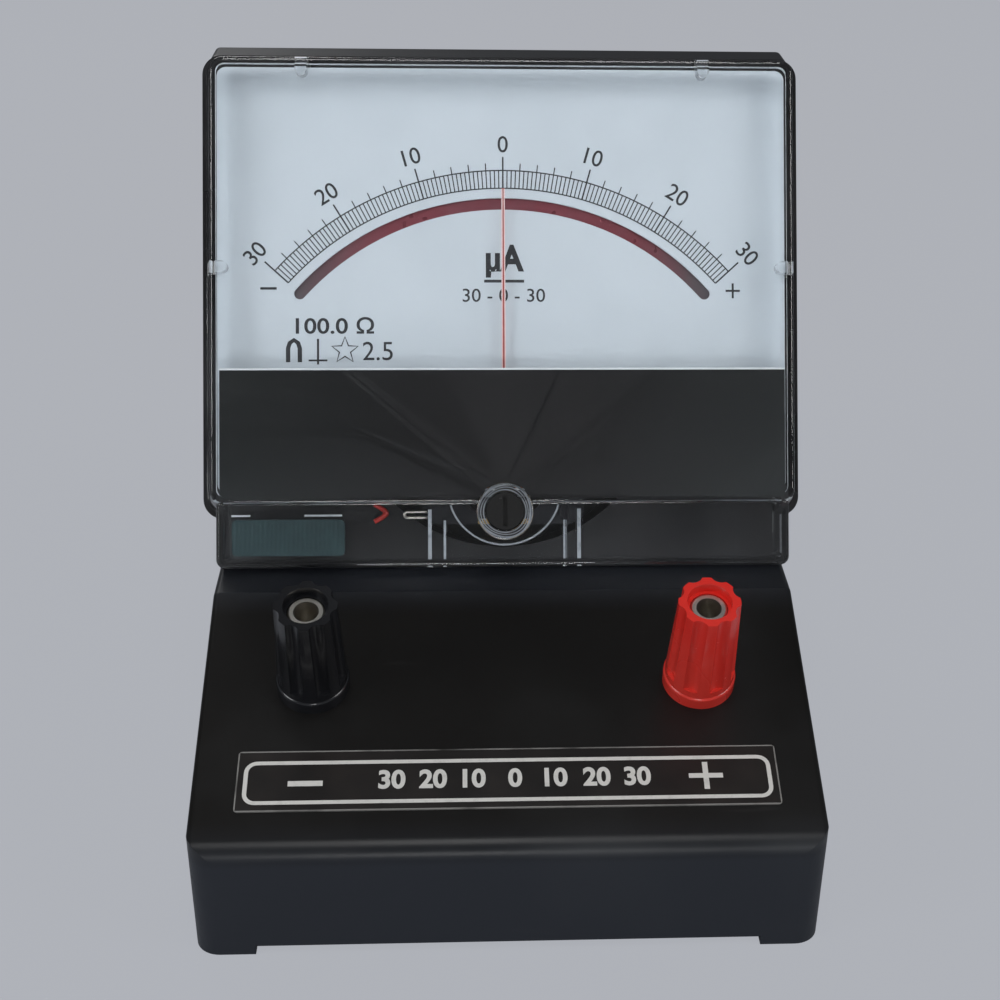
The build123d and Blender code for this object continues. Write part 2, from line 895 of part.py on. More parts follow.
def magnet():
    """The horseshoe magnet that stands on the pole pieces, its bend at the top."""
    width = pole_half_width - magnet_inner_half_width
    top = pole_half_height + magnet_leg_length
    legs = Sketch()
    for side in (-1, 1):
        legs += Pos(side * (magnet_inner_half_width + width / 2), (pole_half_height + top) / 2) * Rectangle(
            width, magnet_leg_length
        )
    bend = Circle(pole_half_width) - Circle(magnet_inner_half_width)
    bend &= Pos(0, pole_half_width) * Rectangle(4 * pole_half_width, 2 * pole_half_width)
    bend = Pos(0, top) * bend
    return at_pivot(Pos(0, 0, iron_back) * extrude(legs + bend, iron_depth))


def core():
    """The soft-iron core inside the coil."""
    cylinder = rod(core_radius, iron_back + core_overhang, iron_front - core_overhang)
    rims = cylinder.edges().group_by(Axis.Z)
    cylinder = chamfer(rims[0] + rims[-1], core_chamfer)
    return at_pivot(cylinder)


def core_carriers():
    """Two brass strips between the pole pieces, whose tongues hold the core above and below."""
    middle = (iron_front + iron_back) / 2
    strips = []
    for up in (-1, 1):
        tongue = block(
            -carrier_half_width, carrier_half_width, core_radius - carrier_tongue_reach,
            pole_half_height - carrier_plate / 2, middle - carrier_tongue_half, middle + carrier_tongue_half,
        )
        tongue += block(
            -pole_horn_gap, pole_horn_gap, pole_half_height - carrier_plate, pole_half_height,
            middle - carrier_plate_half, middle + carrier_plate_half,
        )
        if up < 0:
            tongue = Rot(0, 0, 180) * tongue
        tongue -= rod(core_radius, iron_back, iron_front)
        strips.append(at_pivot(tongue))
    return Compound(children=strips)


def bridge(face_n, seat_n):
    """A brass bridge over the coil: bar with jewel hole, two legs and two feet on the iron."""
    up = 1 if face_n > seat_n else -1
    outer_n = face_n + up * bridge_thickness
    foot_n = seat_n + up * bridge_thickness
    edge = bridge_leg_u + bridge_leg_width
    bar = block(
        -edge, edge, -bridge_half_width, bridge_half_width, min(face_n, outer_n), max(face_n, outer_n)
    )
    for side in (-1, 1):
        a, b = sorted((side * bridge_leg_u, side * edge))
        bar += block(a, b, -bridge_half_width, bridge_half_width, min(seat_n, outer_n), max(seat_n, outer_n))
        a, b = sorted((side * bridge_leg_u, side * (edge + bridge_foot_length)))
        bar += block(a, b, -bridge_half_width, bridge_half_width, min(seat_n, foot_n), max(seat_n, foot_n))
        at = (side * bridge_screw_u, 0)
        bar -= rod(bridge_hole_radius, seat_n - 2 * cut_over, seat_n + 2 * cut_over, at)
    bar -= rod(jewel_radius, face_n - 2 * cut_over, face_n + 2 * cut_over)
    return at_pivot(bar)


def jewel_screw(inner_n, outer_n):
    """A jewel screw in its bridge, with a cup for the pivot and a slot outside."""
    up = 1 if outer_n > inner_n else -1
    screw = rod(jewel_radius, min(inner_n, outer_n), max(inner_n, outer_n))
    cup_end = inner_n + up * jewel_cup_depth
    screw -= rod(pivot_radius + running_gap, min(inner_n, cup_end) - 0.001, max(inner_n, cup_end))
    screw -= Pos(0, 0, outer_n) * Box(jewel_slot_width, 3 * jewel_radius, 2 * jewel_slot_depth)
    return at_pivot(screw)


front_jewel_inner = front_bridge_n - jewel_reach
front_jewel_outer = mask_back - jewel_mask_gap
rear_jewel_inner = rear_bridge_n + jewel_reach
rear_jewel_outer = rear_bridge_n - bridge_thickness - jewel_head


def coil_former():
    """The aluminium former: a rectangular channel round the core."""
    half, width = former_half_width, former_width / 2
    grow = former_wall + winding_height
    inner = block(-half, half, -width - cut_over, width + cut_over, coil_back, coil_front)
    base = block(
        -half - former_wall, half + former_wall, -width, width,
        coil_back - former_wall, coil_front + former_wall,
    )
    rim = block(-half - grow, half + grow, -width, width, coil_back - grow, coil_front + grow)
    past = 2 * grow
    slot = width - former_rim
    rim -= block(-half - past, half + past, -slot, slot, coil_back - past, coil_front + past)
    return at_pivot(base + rim - inner)


def coil_winding():
    """The coil's copper winding in the former's channel."""
    half, width = former_half_width + former_wall, former_width / 2 - former_rim
    outer = half + winding_height
    turns = block(
        -outer, outer, -width, width,
        coil_back - former_wall - winding_height, coil_front + former_wall + winding_height,
    )
    turns = fillet(turns.edges().filter_by(Axis.Y), winding_edge_radius)
    turns -= block(
        -half, half, -width - cut_over, width + cut_over, coil_back - former_wall, coil_front + former_wall
    )
    return at_pivot(turns)


def coil_pivot(base_n, tip_n, spring_low):
    """A steel pivot on its base, with the collet of its hairspring and a fine tip in the jewel."""
    up = 1 if tip_n > base_n else -1
    seat = base_n + up * pivot_base_height
    pivot = rod(pivot_base_radius, min(base_n, seat), max(base_n, seat))
    tip_start = tip_n - up * pivot_tip_length
    pivot += rod(pivot_shaft_radius, min(seat, tip_start), max(seat, tip_start))
    pivot += rod(pivot_radius, min(tip_start, tip_n), max(tip_start, tip_n))
    pivot += rod(collet_radius, spring_low, spring_low + spring_height)
    return at_pivot(pivot)


collet_radius = spring_inner_radius - spring_strip / 2 - collet_gap
spring_reach = spring_inner_radius + spring_pitch / 4 * (spring_half_turns - 1) + spring_strip / 2
spring_end = spring_reach + spring_end_gap
spring_front_low = front_jewel_inner - jewel_end_gap - spring_height
spring_rear_low = rear_jewel_inner + jewel_end_gap
coil_front_end = coil_front + former_wall + winding_height
coil_back_end = coil_back - former_wall - winding_height
front_tip = front_jewel_inner + jewel_cup_depth - pivot_tip_gap
rear_tip = rear_jewel_inner - jewel_cup_depth + pivot_tip_gap


def hairspring(low, start_angle):
    """A flat spiral spring of half turns about the pivot."""
    spiral = Sketch()
    radius = spring_inner_radius
    centre = 0.0
    for i in range(spring_half_turns):
        ring = Circle(radius + spring_strip / 2) - Circle(radius - spring_strip / 2)
        side = 1 if i % 2 == 0 else -1
        half = ring & Pos(0, side * 2 * radius) * Rectangle(6 * radius, 4 * radius)
        spiral += Pos(centre, 0) * half
        centre += side * spring_pitch / 4
        radius += spring_pitch / 4
    spring = Pos(0, 0, low) * extrude(spiral, spring_height)
    return at_pivot(Rot(0, 0, start_angle) * spring)


def needle():
    """The pointer: hub ring, knife blade, tail and two balance arms."""
    low = needle_n - needle_thickness / 2
    blade = make_face(
        Polyline(
            (-needle_root_width / 2, needle_start),
            (needle_root_width / 2, needle_start),
            (needle_tip_width / 2, needle_length),
            (-needle_tip_width / 2, needle_length),
            close=True,
        )
    )
    cross = Circle(needle_hub_radius) + blade
    cross += Pos(0, -balance_tail_length / 2) * Rectangle(balance_arm_width, balance_tail_length)
    cross += Rectangle(2 * balance_arm_length, balance_arm_width)
    cross -= Circle(needle_hub_hole)
    return at_pivot(Pos(0, 0, low) * extrude(cross, needle_thickness))


def balance_weights():
    """Three small wound weights on the needle's tail and arms."""
    weights = []
    for angle, reach in ((180, balance_arm_length), (0, balance_arm_length), (-90, balance_tail_length)):
        start = reach - balance_weight_length - balance_weight_inset
        weight = Rot(0, 90, 0) * rod(balance_weight_radius, start, start + balance_weight_length)
        slot = block(
            0, reach + cut_over, -balance_arm_width / 2, balance_arm_width / 2,
            -needle_thickness / 2, needle_thickness / 2,
        )
        weights.append(at_pivot(Pos(0, 0, needle_n) * Rot(0, 0, angle) * (weight - slot)))
    return Compound(children=weights)


# Zero adjuster

fork_reach = pivot_v - zero_v


def zero_screw():
    """The slotted adjuster in the cover's boss, with its shaft, flange and eccentric pin."""
    back = zero_disc_front - zero_disc_height
    disc = rod(zero_disc_radius, back, zero_disc_front)
    disc = chamfer(disc.edges().group_by(Axis.Z)[-1], zero_disc_chamfer)
    disc -= Pos(0, 0, zero_disc_front) * Box(zero_slot_width, zero_slot_length, 2 * zero_slot_depth)
    flange_top_n = zero_boss_back - running_gap
    flange_low_n = flange_top_n - zero_flange_height
    screw = disc + rod(zero_shaft_radius, flange_low_n, back)
    screw += rod(zero_flange_radius, flange_low_n, flange_top_n)
    screw += rod(zero_pin_radius, lever_n - lever_pin_reach, flange_low_n, (0, zero_pin_offset))
    return on_face(Pos(0, zero_v, 0) * screw)


def zero_lever():
    """The lever about the front jewel screw: ring, forked arm and the tab that anchors the spring."""
    lever = Circle(lever_ring_radius)
    low = -fork_reach - lever_end
    lever += Pos(0, low / 2) * Rectangle(2 * lever_half_width, -low)
    lever -= Circle(jewel_radius + running_gap)
    slot = zero_pin_radius + fork_side_gap
    slot_top = -fork_reach + zero_pin_offset + zero_pin_radius + fork_side_gap
    slot_low = low - cut_over
    lever -= Pos(0, (slot_top + slot_low) / 2) * Rectangle(2 * slot, slot_top - slot_low)
    plate = Pos(0, 0, lever_n) * extrude(lever, lever_thickness)
    tab = block(
        -spring_tab_width / 2, spring_tab_width / 2, -spring_end - spring_tab_thickness, -spring_end,
        spring_front_low, lever_n + lever_thickness,
    )
    return at_pivot(plate + tab)


def spring_anchor():
    """The fixed arm on the rear bridge that holds the rear spring's outer end."""
    half = spring_tab_width / 2
    far = -spring_end - spring_tab_thickness
    low = rear_bridge_n - bridge_thickness
    arm = block(-half, half, far, -bridge_half_width, low, low + spring_tab_thickness)
    arm += block(-half, half, far, -spring_end, low, spring_rear_low + spring_height)
    return at_pivot(arm)


def resistor_card():
    """The small wound resistor card on the flange behind the chin, at the left."""
    card = Pos((card_left + card_right) / 2, (card_low + card_high) / 2, card_n) * extrude(
        RectangleRounded(card_length, card_high - card_low, card_corner), card_thickness
    )
    for u in (card_left + card_post_inset, card_right - card_post_inset):
        card += rod(card_post_radius, -cover_depth, card_n, (u, (card_low + card_high) / 2))
    return on_face(card)


# Binding posts, made about their own axis from the deck up

def post_collar():
    """The coloured base collar under a cap."""
    collar = tube(collar_radius, stud_radius + collar_gap, 0, collar_height)
    top = collar.edges().filter_by(GeomType.CIRCLE).group_by(SortBy.RADIUS)[-1].group_by(Axis.Z)[-1]
    return fillet(top, collar_edge_radius)


def post_stud():
    """The nickel-plated stud: 4 mm socket from the top and a cross hole for bare wire."""
    top = collar_height + cap_height - cap_recess_depth
    stud = rod(stud_radius, -stand_wall - stud_below, top)
    ends = stud.edges().filter_by(GeomType.CIRCLE)
    stud = chamfer(ends.group_by(Axis.Z)[-1] + ends.group_by(Axis.Z)[0], stud_chamfer)
    stud -= rod(socket_radius, top - socket_depth, top + cut_over)
    height = collar_height + washer_thickness + post_travel / 2
    stud -= Pos(0, 0, height) * Rot(90, 0, 0) * Cylinder(wire_hole_radius, 3 * stud_radius)
    return stud


def post_cap():
    """The fluted cap: tapered, recessed at the top, hollow underneath for the clamp washer."""
    base = collar_height
    low = Pos(0, 0, base) * Circle(cap_bottom_radius)
    high = Pos(0, 0, base + cap_height) * Circle(cap_top_radius)
    cap = loft([low, high])
    spread = degrees(atan((cap_bottom_radius - cap_top_radius) / cap_height))
    for i in range(cap_flutes):
        centre = cap_bottom_radius + cap_flute_radius - cap_flute_bite
        flute = Cylinder(cap_flute_radius, 3 * cap_height)
        flute = Pos(centre, 0, base) * Rot(0, -spread, 0) * flute
        flute &= block(0, cap_height, -cap_height, cap_height, base + cap_flute_start, base + 3 * cap_height)
        cap -= Rot(0, 0, 360 / cap_flutes * (i + 0.5)) * flute
    cap -= rod(cap_recess_radius, base + cap_height - cap_recess_depth, base + cap_height + cut_over)
    cap -= rod(stud_radius + running_gap, base - cut_over, base + cap_height)
    cap -= rod(washer_radius + cap_washer_gap, base - cut_over, base + washer_thickness + nut_gap)
    return cap


def post_washer():
    """The clamp washer that presses a bare wire on the collar."""
    return tube(washer_radius, stud_radius + running_gap, collar_height, collar_height + washer_thickness)


bush_low = -stand_wall - bush_thickness
tag_low = bush_low - tag_thickness


def post_bush():
    """The insulating bush under the deck, with a spigot in the deck's hole."""
    bush = tube(bush_radius, stud_radius + collar_gap, bush_low, -stand_wall)
    return bush + tube(deck_hole_radius - bush_gap, stud_radius + collar_gap, -stand_wall, -bush_gap)


def post_tag():
    """The solder tag between bush and nut, its tongue to the back."""
    tag = Circle(tag_length / 2) + Pos(0, tag_length / 2) * Rectangle(tag_width, tag_length)
    tag -= Circle(stud_radius + collar_gap)
    tag -= Pos(0, tag_length - tag_width / 2) * Circle(tag_hole_radius)
    return Pos(0, 0, tag_low) * extrude(tag, tag_thickness)


def post_nut():
    """The nut that clamps a post to the deck."""
    return hex_nut(post_nut_flats, stud_radius + nut_gap, tag_low - post_nut_height, tag_low)


def meter_tag():
    """The solder tag under a meter terminal's nut, its tongue down the face."""
    tongue = Pos(0, -meter_tag_length / 2) * Rectangle(meter_tag_width, meter_tag_length)
    tag = Circle(meter_tag_radius) + tongue
    tag -= Circle(meter_stud_radius + collar_gap)
    return Pos(0, 0, floor_n - tag_thickness) * extrude(tag, tag_thickness)


def lead(x):
    """An insulated lead from a post's tag, under the barrel and up to its meter terminal."""
    side = 1 if x > 0 else -1
    plane = deck_plane(x)
    start = plane.location * Pos(0, tag_length, tag_low + tag_thickness / 2)
    away = plane.location * Pos(0, tag_length + lead_straight, tag_low + tag_thickness / 2)
    seat = floor_n - tag_thickness - lead_radius
    tag_end = meter_stud_v - meter_tag_length
    end = face_point(side * meter_stud_u, tag_end + lead_lap, seat)
    below = face_point(side * meter_stud_u, tag_end - lead_straight, seat - lead_radius)
    points = [
        tuple(start.position),
        tuple(away.position),
        (x - side * lead_first_in, front_y + lead_first_y, lead_first_z),
        (x - side * lead_second_in, front_y + lead_second_y, lead_second_z),
        below,
        end,
    ]
    radii = arc_radii(points)
    print("lead", "right" if side > 0 else "left", "bend radii", [round(r, 1) for r in radii])
    path = FilletPolyline(*points, radius=radii)
    section = Plane(origin=path @ 0, z_dir=path % 0) * Circle(lead_radius)
    wire = sweep(section, path=path)
    print("lead volume over section times length", round(wire.volume / (path.length * section.area), 4))
    return wire


def arc_radii(points):
    """The largest easy bend at each inner point of a route: a run between two bends is shared by them."""
    radii = []
    last = len(points) - 3
    for i, (before, here, after) in enumerate(zip(points, points[1:], points[2:])):
        first = Vector(*here) - Vector(*before)
        second = Vector(*after) - Vector(*here)
        room = min(
            first.length * (0.9 if i == 0 else 0.45),
            second.length * (0.9 if i == last else 0.45),
        )
        radii.append(room / tan(radians(first.get_angle(second)) / 2))
    return radii


def parts():
    """Every node of the galvanometer by name."""
    rear_nut = floor_n - tag_thickness
    made = {
        "stand_housing": stand_housing(),
        "bottom_plate": bottom_plate(),
        "bottom_screws": bottom_screws(),
        "label_plate": label_plate(),
        "meter_body": meter_body(),
        "clear_cover": clear_cover(),
        "mask_plate": mask_plate(),
        "dial_plate": dial_plate(),
        "mirror_strip": mirror_strip(),
        "dial_screws": small_screws(
            [(-dial_screw_u, dial_screw_v), (dial_screw_u, dial_screw_v)], dial_screw_head,
            dial_screw_head_height, dial_screw_shank, -dial_depth, dial_back - dial_screw_length,
        ),
        "meter_terminals": studs(
            meter_terminal_places(), meter_stud_radius, meter_stud_head, floor_n - meter_stud_length,
            floor_n + barrel_floor + meter_stud_head_height, floor_n + barrel_floor,
        ),
        "meter_tags": Compound(children=[
            on_face(Pos(u, v, 0) * meter_tag()) for u, v in meter_terminal_places()
        ]),
        "meter_terminal_nuts": nuts(
            meter_terminal_places(), meter_nut_flats, meter_stud_radius + nut_gap,
            rear_nut - meter_nut_height, rear_nut,
        ),
        "mounting_studs": studs(
            mounting_places(), mounting_radius, 0, back_n - mounting_length, back_n + mounting_sink, 0
        ),
        "mounting_nuts": nuts(
            mounting_places(), mounting_nut_flats, mounting_radius + nut_gap,
            back_n - stand_wall - mounting_nut_height, back_n - stand_wall,
        ),
        "magnet": magnet(),
        "pole_piece_left": pole_piece(-1),
        "pole_piece_right": pole_piece(1),
        "movement_screws": small_screws(
            pillar_places(), movement_screw_head, movement_screw_head_height, movement_screw_shank,
            iron_front, iron_back - movement_screw_length,
        ),
        "core": core(),
        "core_carriers": core_carriers(),
        "front_bridge": bridge(front_bridge_n, iron_front),
        "rear_bridge": bridge(rear_bridge_n, iron_back),
        "bridge_screws": bridge_screws(),
        "jewel_screw_front": jewel_screw(front_jewel_inner, front_jewel_outer),
        "jewel_screw_rear": jewel_screw(rear_jewel_inner, rear_jewel_outer),
        "spring_anchor": spring_anchor(),
        "resistor_card": resistor_card(),
        "coil_former": coil_former(),
        "coil_winding": coil_winding(),
        "coil_pivot_front": coil_pivot(coil_front_end, front_tip, spring_front_low),
        "coil_pivot_rear": coil_pivot(coil_back_end, rear_tip, spring_rear_low),
        "needle": needle(),
        "balance_weights": balance_weights(),
        "hairspring_front": hairspring(spring_front_low, 90),
        "hairspring_rear": hairspring(spring_rear_low, 90),
        "zero_lever": zero_lever(),
        "zero_screw": zero_screw(),
    }
    for name, x in (("left", -post_spacing / 2), ("right", post_spacing / 2)):
        place = deck_plane(x).location
        made["post_collar_" + name] = place * post_collar()
        made["post_stud_" + name] = place * post_stud()
        made["post_cap_" + name] = place * post_cap()
        made["post_washer_" + name] = place * post_washer()
        made["post_bush_" + name] = place * post_bush()
        made["post_tag_" + name] = place * post_tag()
        made["post_nut_" + name] = place * post_nut()
        made["lead_" + name] = lead(x)
    return made


def bridge_screws():
    """Four small screws that hold the two bridges' feet to the pole pieces."""
    made = []
    for seat, up in ((iron_front, 1), (iron_back, -1)):
        top = seat + up * bridge_thickness
        for side in (-1, 1):
            at = (side * bridge_screw_u, 0)
            head_end, tip = top + up * bridge_screw_head_height, seat - up * bridge_screw_length
            screw = rod(bridge_screw_head, min(top, head_end), max(top, head_end), at)
            screw += rod(bridge_screw_shank, min(tip, top), max(tip, top), at)
            made.append(at_pivot(screw))
    return Compound(children=made)


zero_turn = radians(zero_range)
pin_side = zero_pin_offset * sin(zero_turn)
pin_below = fork_reach - zero_pin_offset * cos(zero_turn)
lever_ratio = -degrees(atan(pin_side / pin_below)) / zero_range

os.makedirs("parts", exist_ok=True)
for node, shape in parts().items():
    export_step(shape, "parts/" + node + ".step")
print("pivot", face_point(0, pivot_v, needle_n))
print("zero screw", face_point(0, zero_v, 0), "lever ratio", round(lever_ratio, 4))
print("posts", deck_plane(post_spacing / 2).origin, deck_plane(post_spacing / 2).z_dir)
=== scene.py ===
"""The looks of a desk-stand galvanometer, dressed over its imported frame."""

import logging
import math
from dataclasses import dataclass, field
from enum import Enum
from functools import cache
from typing import Any, Iterable, Sequence

import bpy
import numpy as np
from mathutils import Matrix, Vector


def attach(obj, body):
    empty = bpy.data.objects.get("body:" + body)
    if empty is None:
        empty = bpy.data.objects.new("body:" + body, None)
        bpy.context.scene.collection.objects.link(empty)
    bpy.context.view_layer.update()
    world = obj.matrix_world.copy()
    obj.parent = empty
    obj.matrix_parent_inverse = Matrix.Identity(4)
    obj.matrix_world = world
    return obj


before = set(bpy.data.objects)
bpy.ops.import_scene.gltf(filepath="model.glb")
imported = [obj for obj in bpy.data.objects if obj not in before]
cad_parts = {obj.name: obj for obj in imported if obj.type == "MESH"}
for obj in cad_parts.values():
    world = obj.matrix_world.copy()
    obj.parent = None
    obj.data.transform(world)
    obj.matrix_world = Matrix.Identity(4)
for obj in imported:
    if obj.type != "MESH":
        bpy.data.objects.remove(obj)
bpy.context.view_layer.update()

log = logging.getLogger("galvanometer")
MM = 0.001
Point2 = tuple[float, float]
Point3 = tuple[float, float, float]
Colour = Point3
Values = dict[Any, Any]


# Places: the frames that pieces are worked out in.


@dataclass(frozen=True)
class Axes:
    """A flat frame on the object, in millimetres: u to the right, v up the surface, n out of it."""

    origin: Point3
    v: Point3
    n: Point3

    def place(self, points: np.ndarray) -> np.ndarray:
        """Carries rows of u, v, n in millimetres to rows of x, y, z in metres."""
        basis = np.array([(1.0, 0.0, 0.0), self.v, self.n])
        return (np.asarray(points, float) @ basis + np.array(self.origin)) * MM


def tilted(origin: Point3, degrees_up: float) -> Axes:
    """A frame, starting at a point in millimetres, whose v axis rises at an angle over the +Y axis."""
    a = math.radians(degrees_up)
    return Axes(origin, (0.0, math.cos(a), math.sin(a)), (0.0, -math.sin(a), math.cos(a)))


# FACE is the meter's frame and DECK the sloping deck's.
# On the face, PIVOT_V is the pointer's axis and DIAL_N the dial's front.
PANEL_LEAN = 26.13
DECK_RISE = 20.25
FACE = tilted((0.0, -8.45, 53.58), 90.0 - PANEL_LEAN)
DECK = tilted((0.0, -58.0, 19.7), DECK_RISE)
PIVOT_V = 4.0
DIAL_N = -7.0
NUMBERS = range(-30, 31, 10)


# Meshes: surfaces and solids from arrays of points.


@dataclass(frozen=True)
class Bar:
    """A flat bar: the middles of its two ends, and its width."""

    start: Point2
    end: Point2
    width: float

    def mirrored(self) -> "Bar":
        """The same bar on the other side of the middle."""
        return Bar((-self.start[0], self.start[1]), (-self.end[0], self.end[1]), self.width)


@dataclass(frozen=True)
class Figure:
    """One printed word or number: its height, middle and turn in degrees, and how wide and heavy it is."""

    text: str
    height: float
    u: float
    v: float
    turn: float = 0.0
    width: float = 1.0
    weight: float = 0.0


def mesh_object(
    name: str, points: np.ndarray, faces: Iterable[Sequence[int]], smooth: bool = False
) -> bpy.types.Object:
    """Puts points and faces into a new object at the origin.

    Args:
        name: the piece's name.
        points: rows of x, y, z in metres.
        faces: the corners of each face.
        smooth: whether the faces are shaded smooth.

    Returns:
        The new object.
    """
    mesh = bpy.data.meshes.new(name)
    mesh.from_pydata(np.asarray(points, float).tolist(), [], [list(map(int, f)) for f in faces])
    mesh.validate()
    mesh.update()
    mesh.polygons.foreach_set("use_smooth", [smooth] * len(mesh.polygons))
    made = bpy.data.objects.new(name, mesh)
    bpy.context.scene.collection.objects.link(made)
    return made


def grid_faces(rows: int, columns: int, wrap_rows: bool, wrap_columns: bool) -> np.ndarray:
    """The four-cornered faces of a grid of points.

    Args:
        rows: how many rows of points there are.
        columns: how many points there are in each row.
        wrap_rows: whether the last row joins the first.
        wrap_columns: whether each row closes on itself.

    Returns:
        One row of four indices for each face.
    """
    i = np.arange(rows if wrap_rows else rows - 1)
    j = np.arange(columns if wrap_columns else columns - 1)
    a, b = np.meshgrid(i, j, indexing="ij")
    up, right = (a + 1) % rows, (b + 1) % columns
    corners = [a * columns + b, a * columns + right, up * columns + right, up * columns + b]
    return np.stack(corners, axis=-1).reshape(-1, 4)


@dataclass
class Solids:
    """Gathers closed solids into one mesh; the flat ones reach from low to high along n."""

    low: float
    high: float
    points: list[np.ndarray] = field(default_factory=list)
    faces: list[list[int]] = field(default_factory=list)
    count: int = 0

    def add(self, points: np.ndarray, faces: Iterable[Sequence[int]]) -> None:
        """Adds one solid.

        Args:
            points: its points, as rows.
            faces: its faces, counted from its own first point.
        """
        self.faces.extend([int(k) + self.count for k in f] for f in faces)
        self.points.append(np.asarray(points, float))
        self.count += len(points)

    def bars(self, *bars: Bar, lift: float = 0.0) -> None:
        """Adds bars: boxes that run from start to end, with half their width to each side.

        Args:
            bars: their ends and widths.
            lift: how far their upper faces stand over the others.
        """
        for bar in bars:
            a, b = np.array(bar.start, float), np.array(bar.end, float)
            along = (b - a) / np.linalg.norm(b - a)
            side = np.array([-along[1], along[0]]) * bar.width / 2
            ring = np.array([a - side, b - side, b + side, a + side])
            levels = (self.low, self.high + lift)
            points = np.vstack([np.column_stack([ring, np.full(4, n)]) for n in levels])
            self.add(points, [[3, 2, 1, 0], [4, 5, 6, 7], *grid_faces(2, 4, False, True).tolist()])

    def band(self, line: np.ndarray, width: float, closed: bool) -> None:
        """Adds a band: each point of a line is moved half the width to both sides along its normal.

        Args:
            line: rows of u and v along the middle.
            width: the band's width.
            closed: whether the line closes on itself.
        """
        if closed:
            along = np.roll(line, -1, axis=0) - np.roll(line, 1, axis=0)
        else:
            along = np.gradient(line, axis=0)
        along /= np.linalg.norm(along, axis=1, keepdims=True)
        side = np.column_stack([-along[:, 1], along[:, 0]]) * width / 2
        k = len(line)
        left, right = line + side, line - side
        corners = ((right, self.low), (right, self.high), (left, self.high), (left, self.low))
        points = np.stack([np.column_stack([edge, np.full(k, n)]) for edge, n in corners], axis=1)
        faces = grid_faces(k, 4, closed, True)[:, ::-1].tolist()
        if not closed:
            last = 4 * (k - 1)
            faces += [[0, 1, 2, 3], [last + 3, last + 2, last + 1, last]]
        self.add(points.reshape(-1, 3), faces)

    def build(self, name: str, axes: Axes) -> bpy.types.Object:
        """Makes the object, from points given in a frame."""
        return mesh_object(name, axes.place(np.vstack(self.points)), self.faces)


def arc_line(radius: float, first: float, last: float, steps: int) -> np.ndarray:
    """Points on an arc about the pointer's axis: u = r sin a, v = pivot + r cos a, a from the upright."""
    a = np.radians(np.linspace(first, last, steps))
    return np.column_stack([radius * np.sin(a), PIVOT_V + radius * np.cos(a)])


def rounded_line(half_u: float, low: float, high: float, radius: float, steps: int = 8) -> np.ndarray:
    """A closed rounded rectangle: four quarter circles joined by straight runs, counter-clockwise.

    Args:
        half_u: half of its width.
        low: its lower edge.
        high: its upper edge.
        radius: its corners' radius.
        steps: the points on each corner.

    Returns:
        Rows of u and v.
    """
    corners = [(half_u - radius, low + radius, -90), (half_u - radius, high - radius, 0),
               (-half_u + radius, high - radius, 90), (-half_u + radius, low + radius, 180)]
    parts = []
    for u, v, start in corners:
        a = np.radians(np.linspace(start, start + 90, steps))
        parts.append(np.column_stack([u + radius * np.cos(a), v + radius * np.sin(a)]))
    return np.vstack(parts)


def tube(name: str, route: np.ndarray, radius: float, axes: Axes) -> bpy.types.Object:
    """A round wire: a circle carried along a smooth route, square to it, with a flat end at each side.

    Args:
        name: the piece's name.
        route: rows of u, v, n along the middle.
        radius: the wire's radius.
        axes: the frame of the route.

    Returns:
        The new object.
    """
    along = np.gradient(route, axis=0)
    along /= np.linalg.norm(along, axis=1, keepdims=True)
    aside = np.cross(along, np.array([0.0, 0.0, 1.0]))
    aside /= np.maximum(np.linalg.norm(aside, axis=1, keepdims=True), 1e-9)
    other = np.cross(aside, along)
    a = np.linspace(0, 2 * math.pi, 12, endpoint=False)
    rings = (route[:, None, :] + radius * (np.cos(a)[None, :, None] * aside[:, None, :]
                                          + np.sin(a)[None, :, None] * other[:, None, :]))
    k, sides = len(route), len(a)
    faces = grid_faces(k, sides, False, True).tolist()
    faces += [list(range(sides))[::-1], list(range((k - 1) * sides, k * sides))]
    made = mesh_object(name, axes.place(rings.reshape(-1, 3)), faces, smooth=True)
    return outward(made)


def coordinates(mesh: bpy.types.Mesh) -> np.ndarray:
    """The mesh's points.

    Args:
        mesh: the mesh.

    Returns:
        Rows of x, y, z.
    """
    flat = np.empty(len(mesh.vertices) * 3)
    mesh.vertices.foreach_get("co", flat)
    return flat.reshape(-1, 3)


def outward(made: bpy.types.Object) -> bpy.types.Object:
    """Turns a closed mesh's faces outwards where its signed volume is negative.

    Args:
        made: the object.

    Returns:
        The same object.
    """
    mesh = made.data
    mesh.calc_loop_triangles()
    corners = np.empty(len(mesh.loop_triangles) * 3, np.int32)
    mesh.loop_triangles.foreach_get("vertices", corners)
    a, b, c = coordinates(mesh)[corners.reshape(-1, 3)].transpose(1, 0, 2)
    if np.einsum("ij,ij->i", a, np.cross(b, c)).sum() < 0:
        mesh.flip_normals()
    return made


def figure_mesh(item: Figure) -> bpy.types.Mesh:
    """One word or number as a solid mesh, in the font's own units.

    Args:
        item: what is printed.

    Returns:
        The mesh.
    """
    curve = bpy.data.curves.new("figure_line", "FONT")
    curve.body = item.text
    curve.resolution_u = 6
    curve.offset = item.weight
    curve.extrude = 0.5
    holder = bpy.data.objects.new("figure_line", curve)
    bpy.context.scene.collection.objects.link(holder)
    bpy.context.view_layer.update()
    mesh = bpy.data.meshes.new_from_object(holder)
    bpy.data.objects.remove(holder)
    bpy.data.curves.remove(curve)
    return mesh


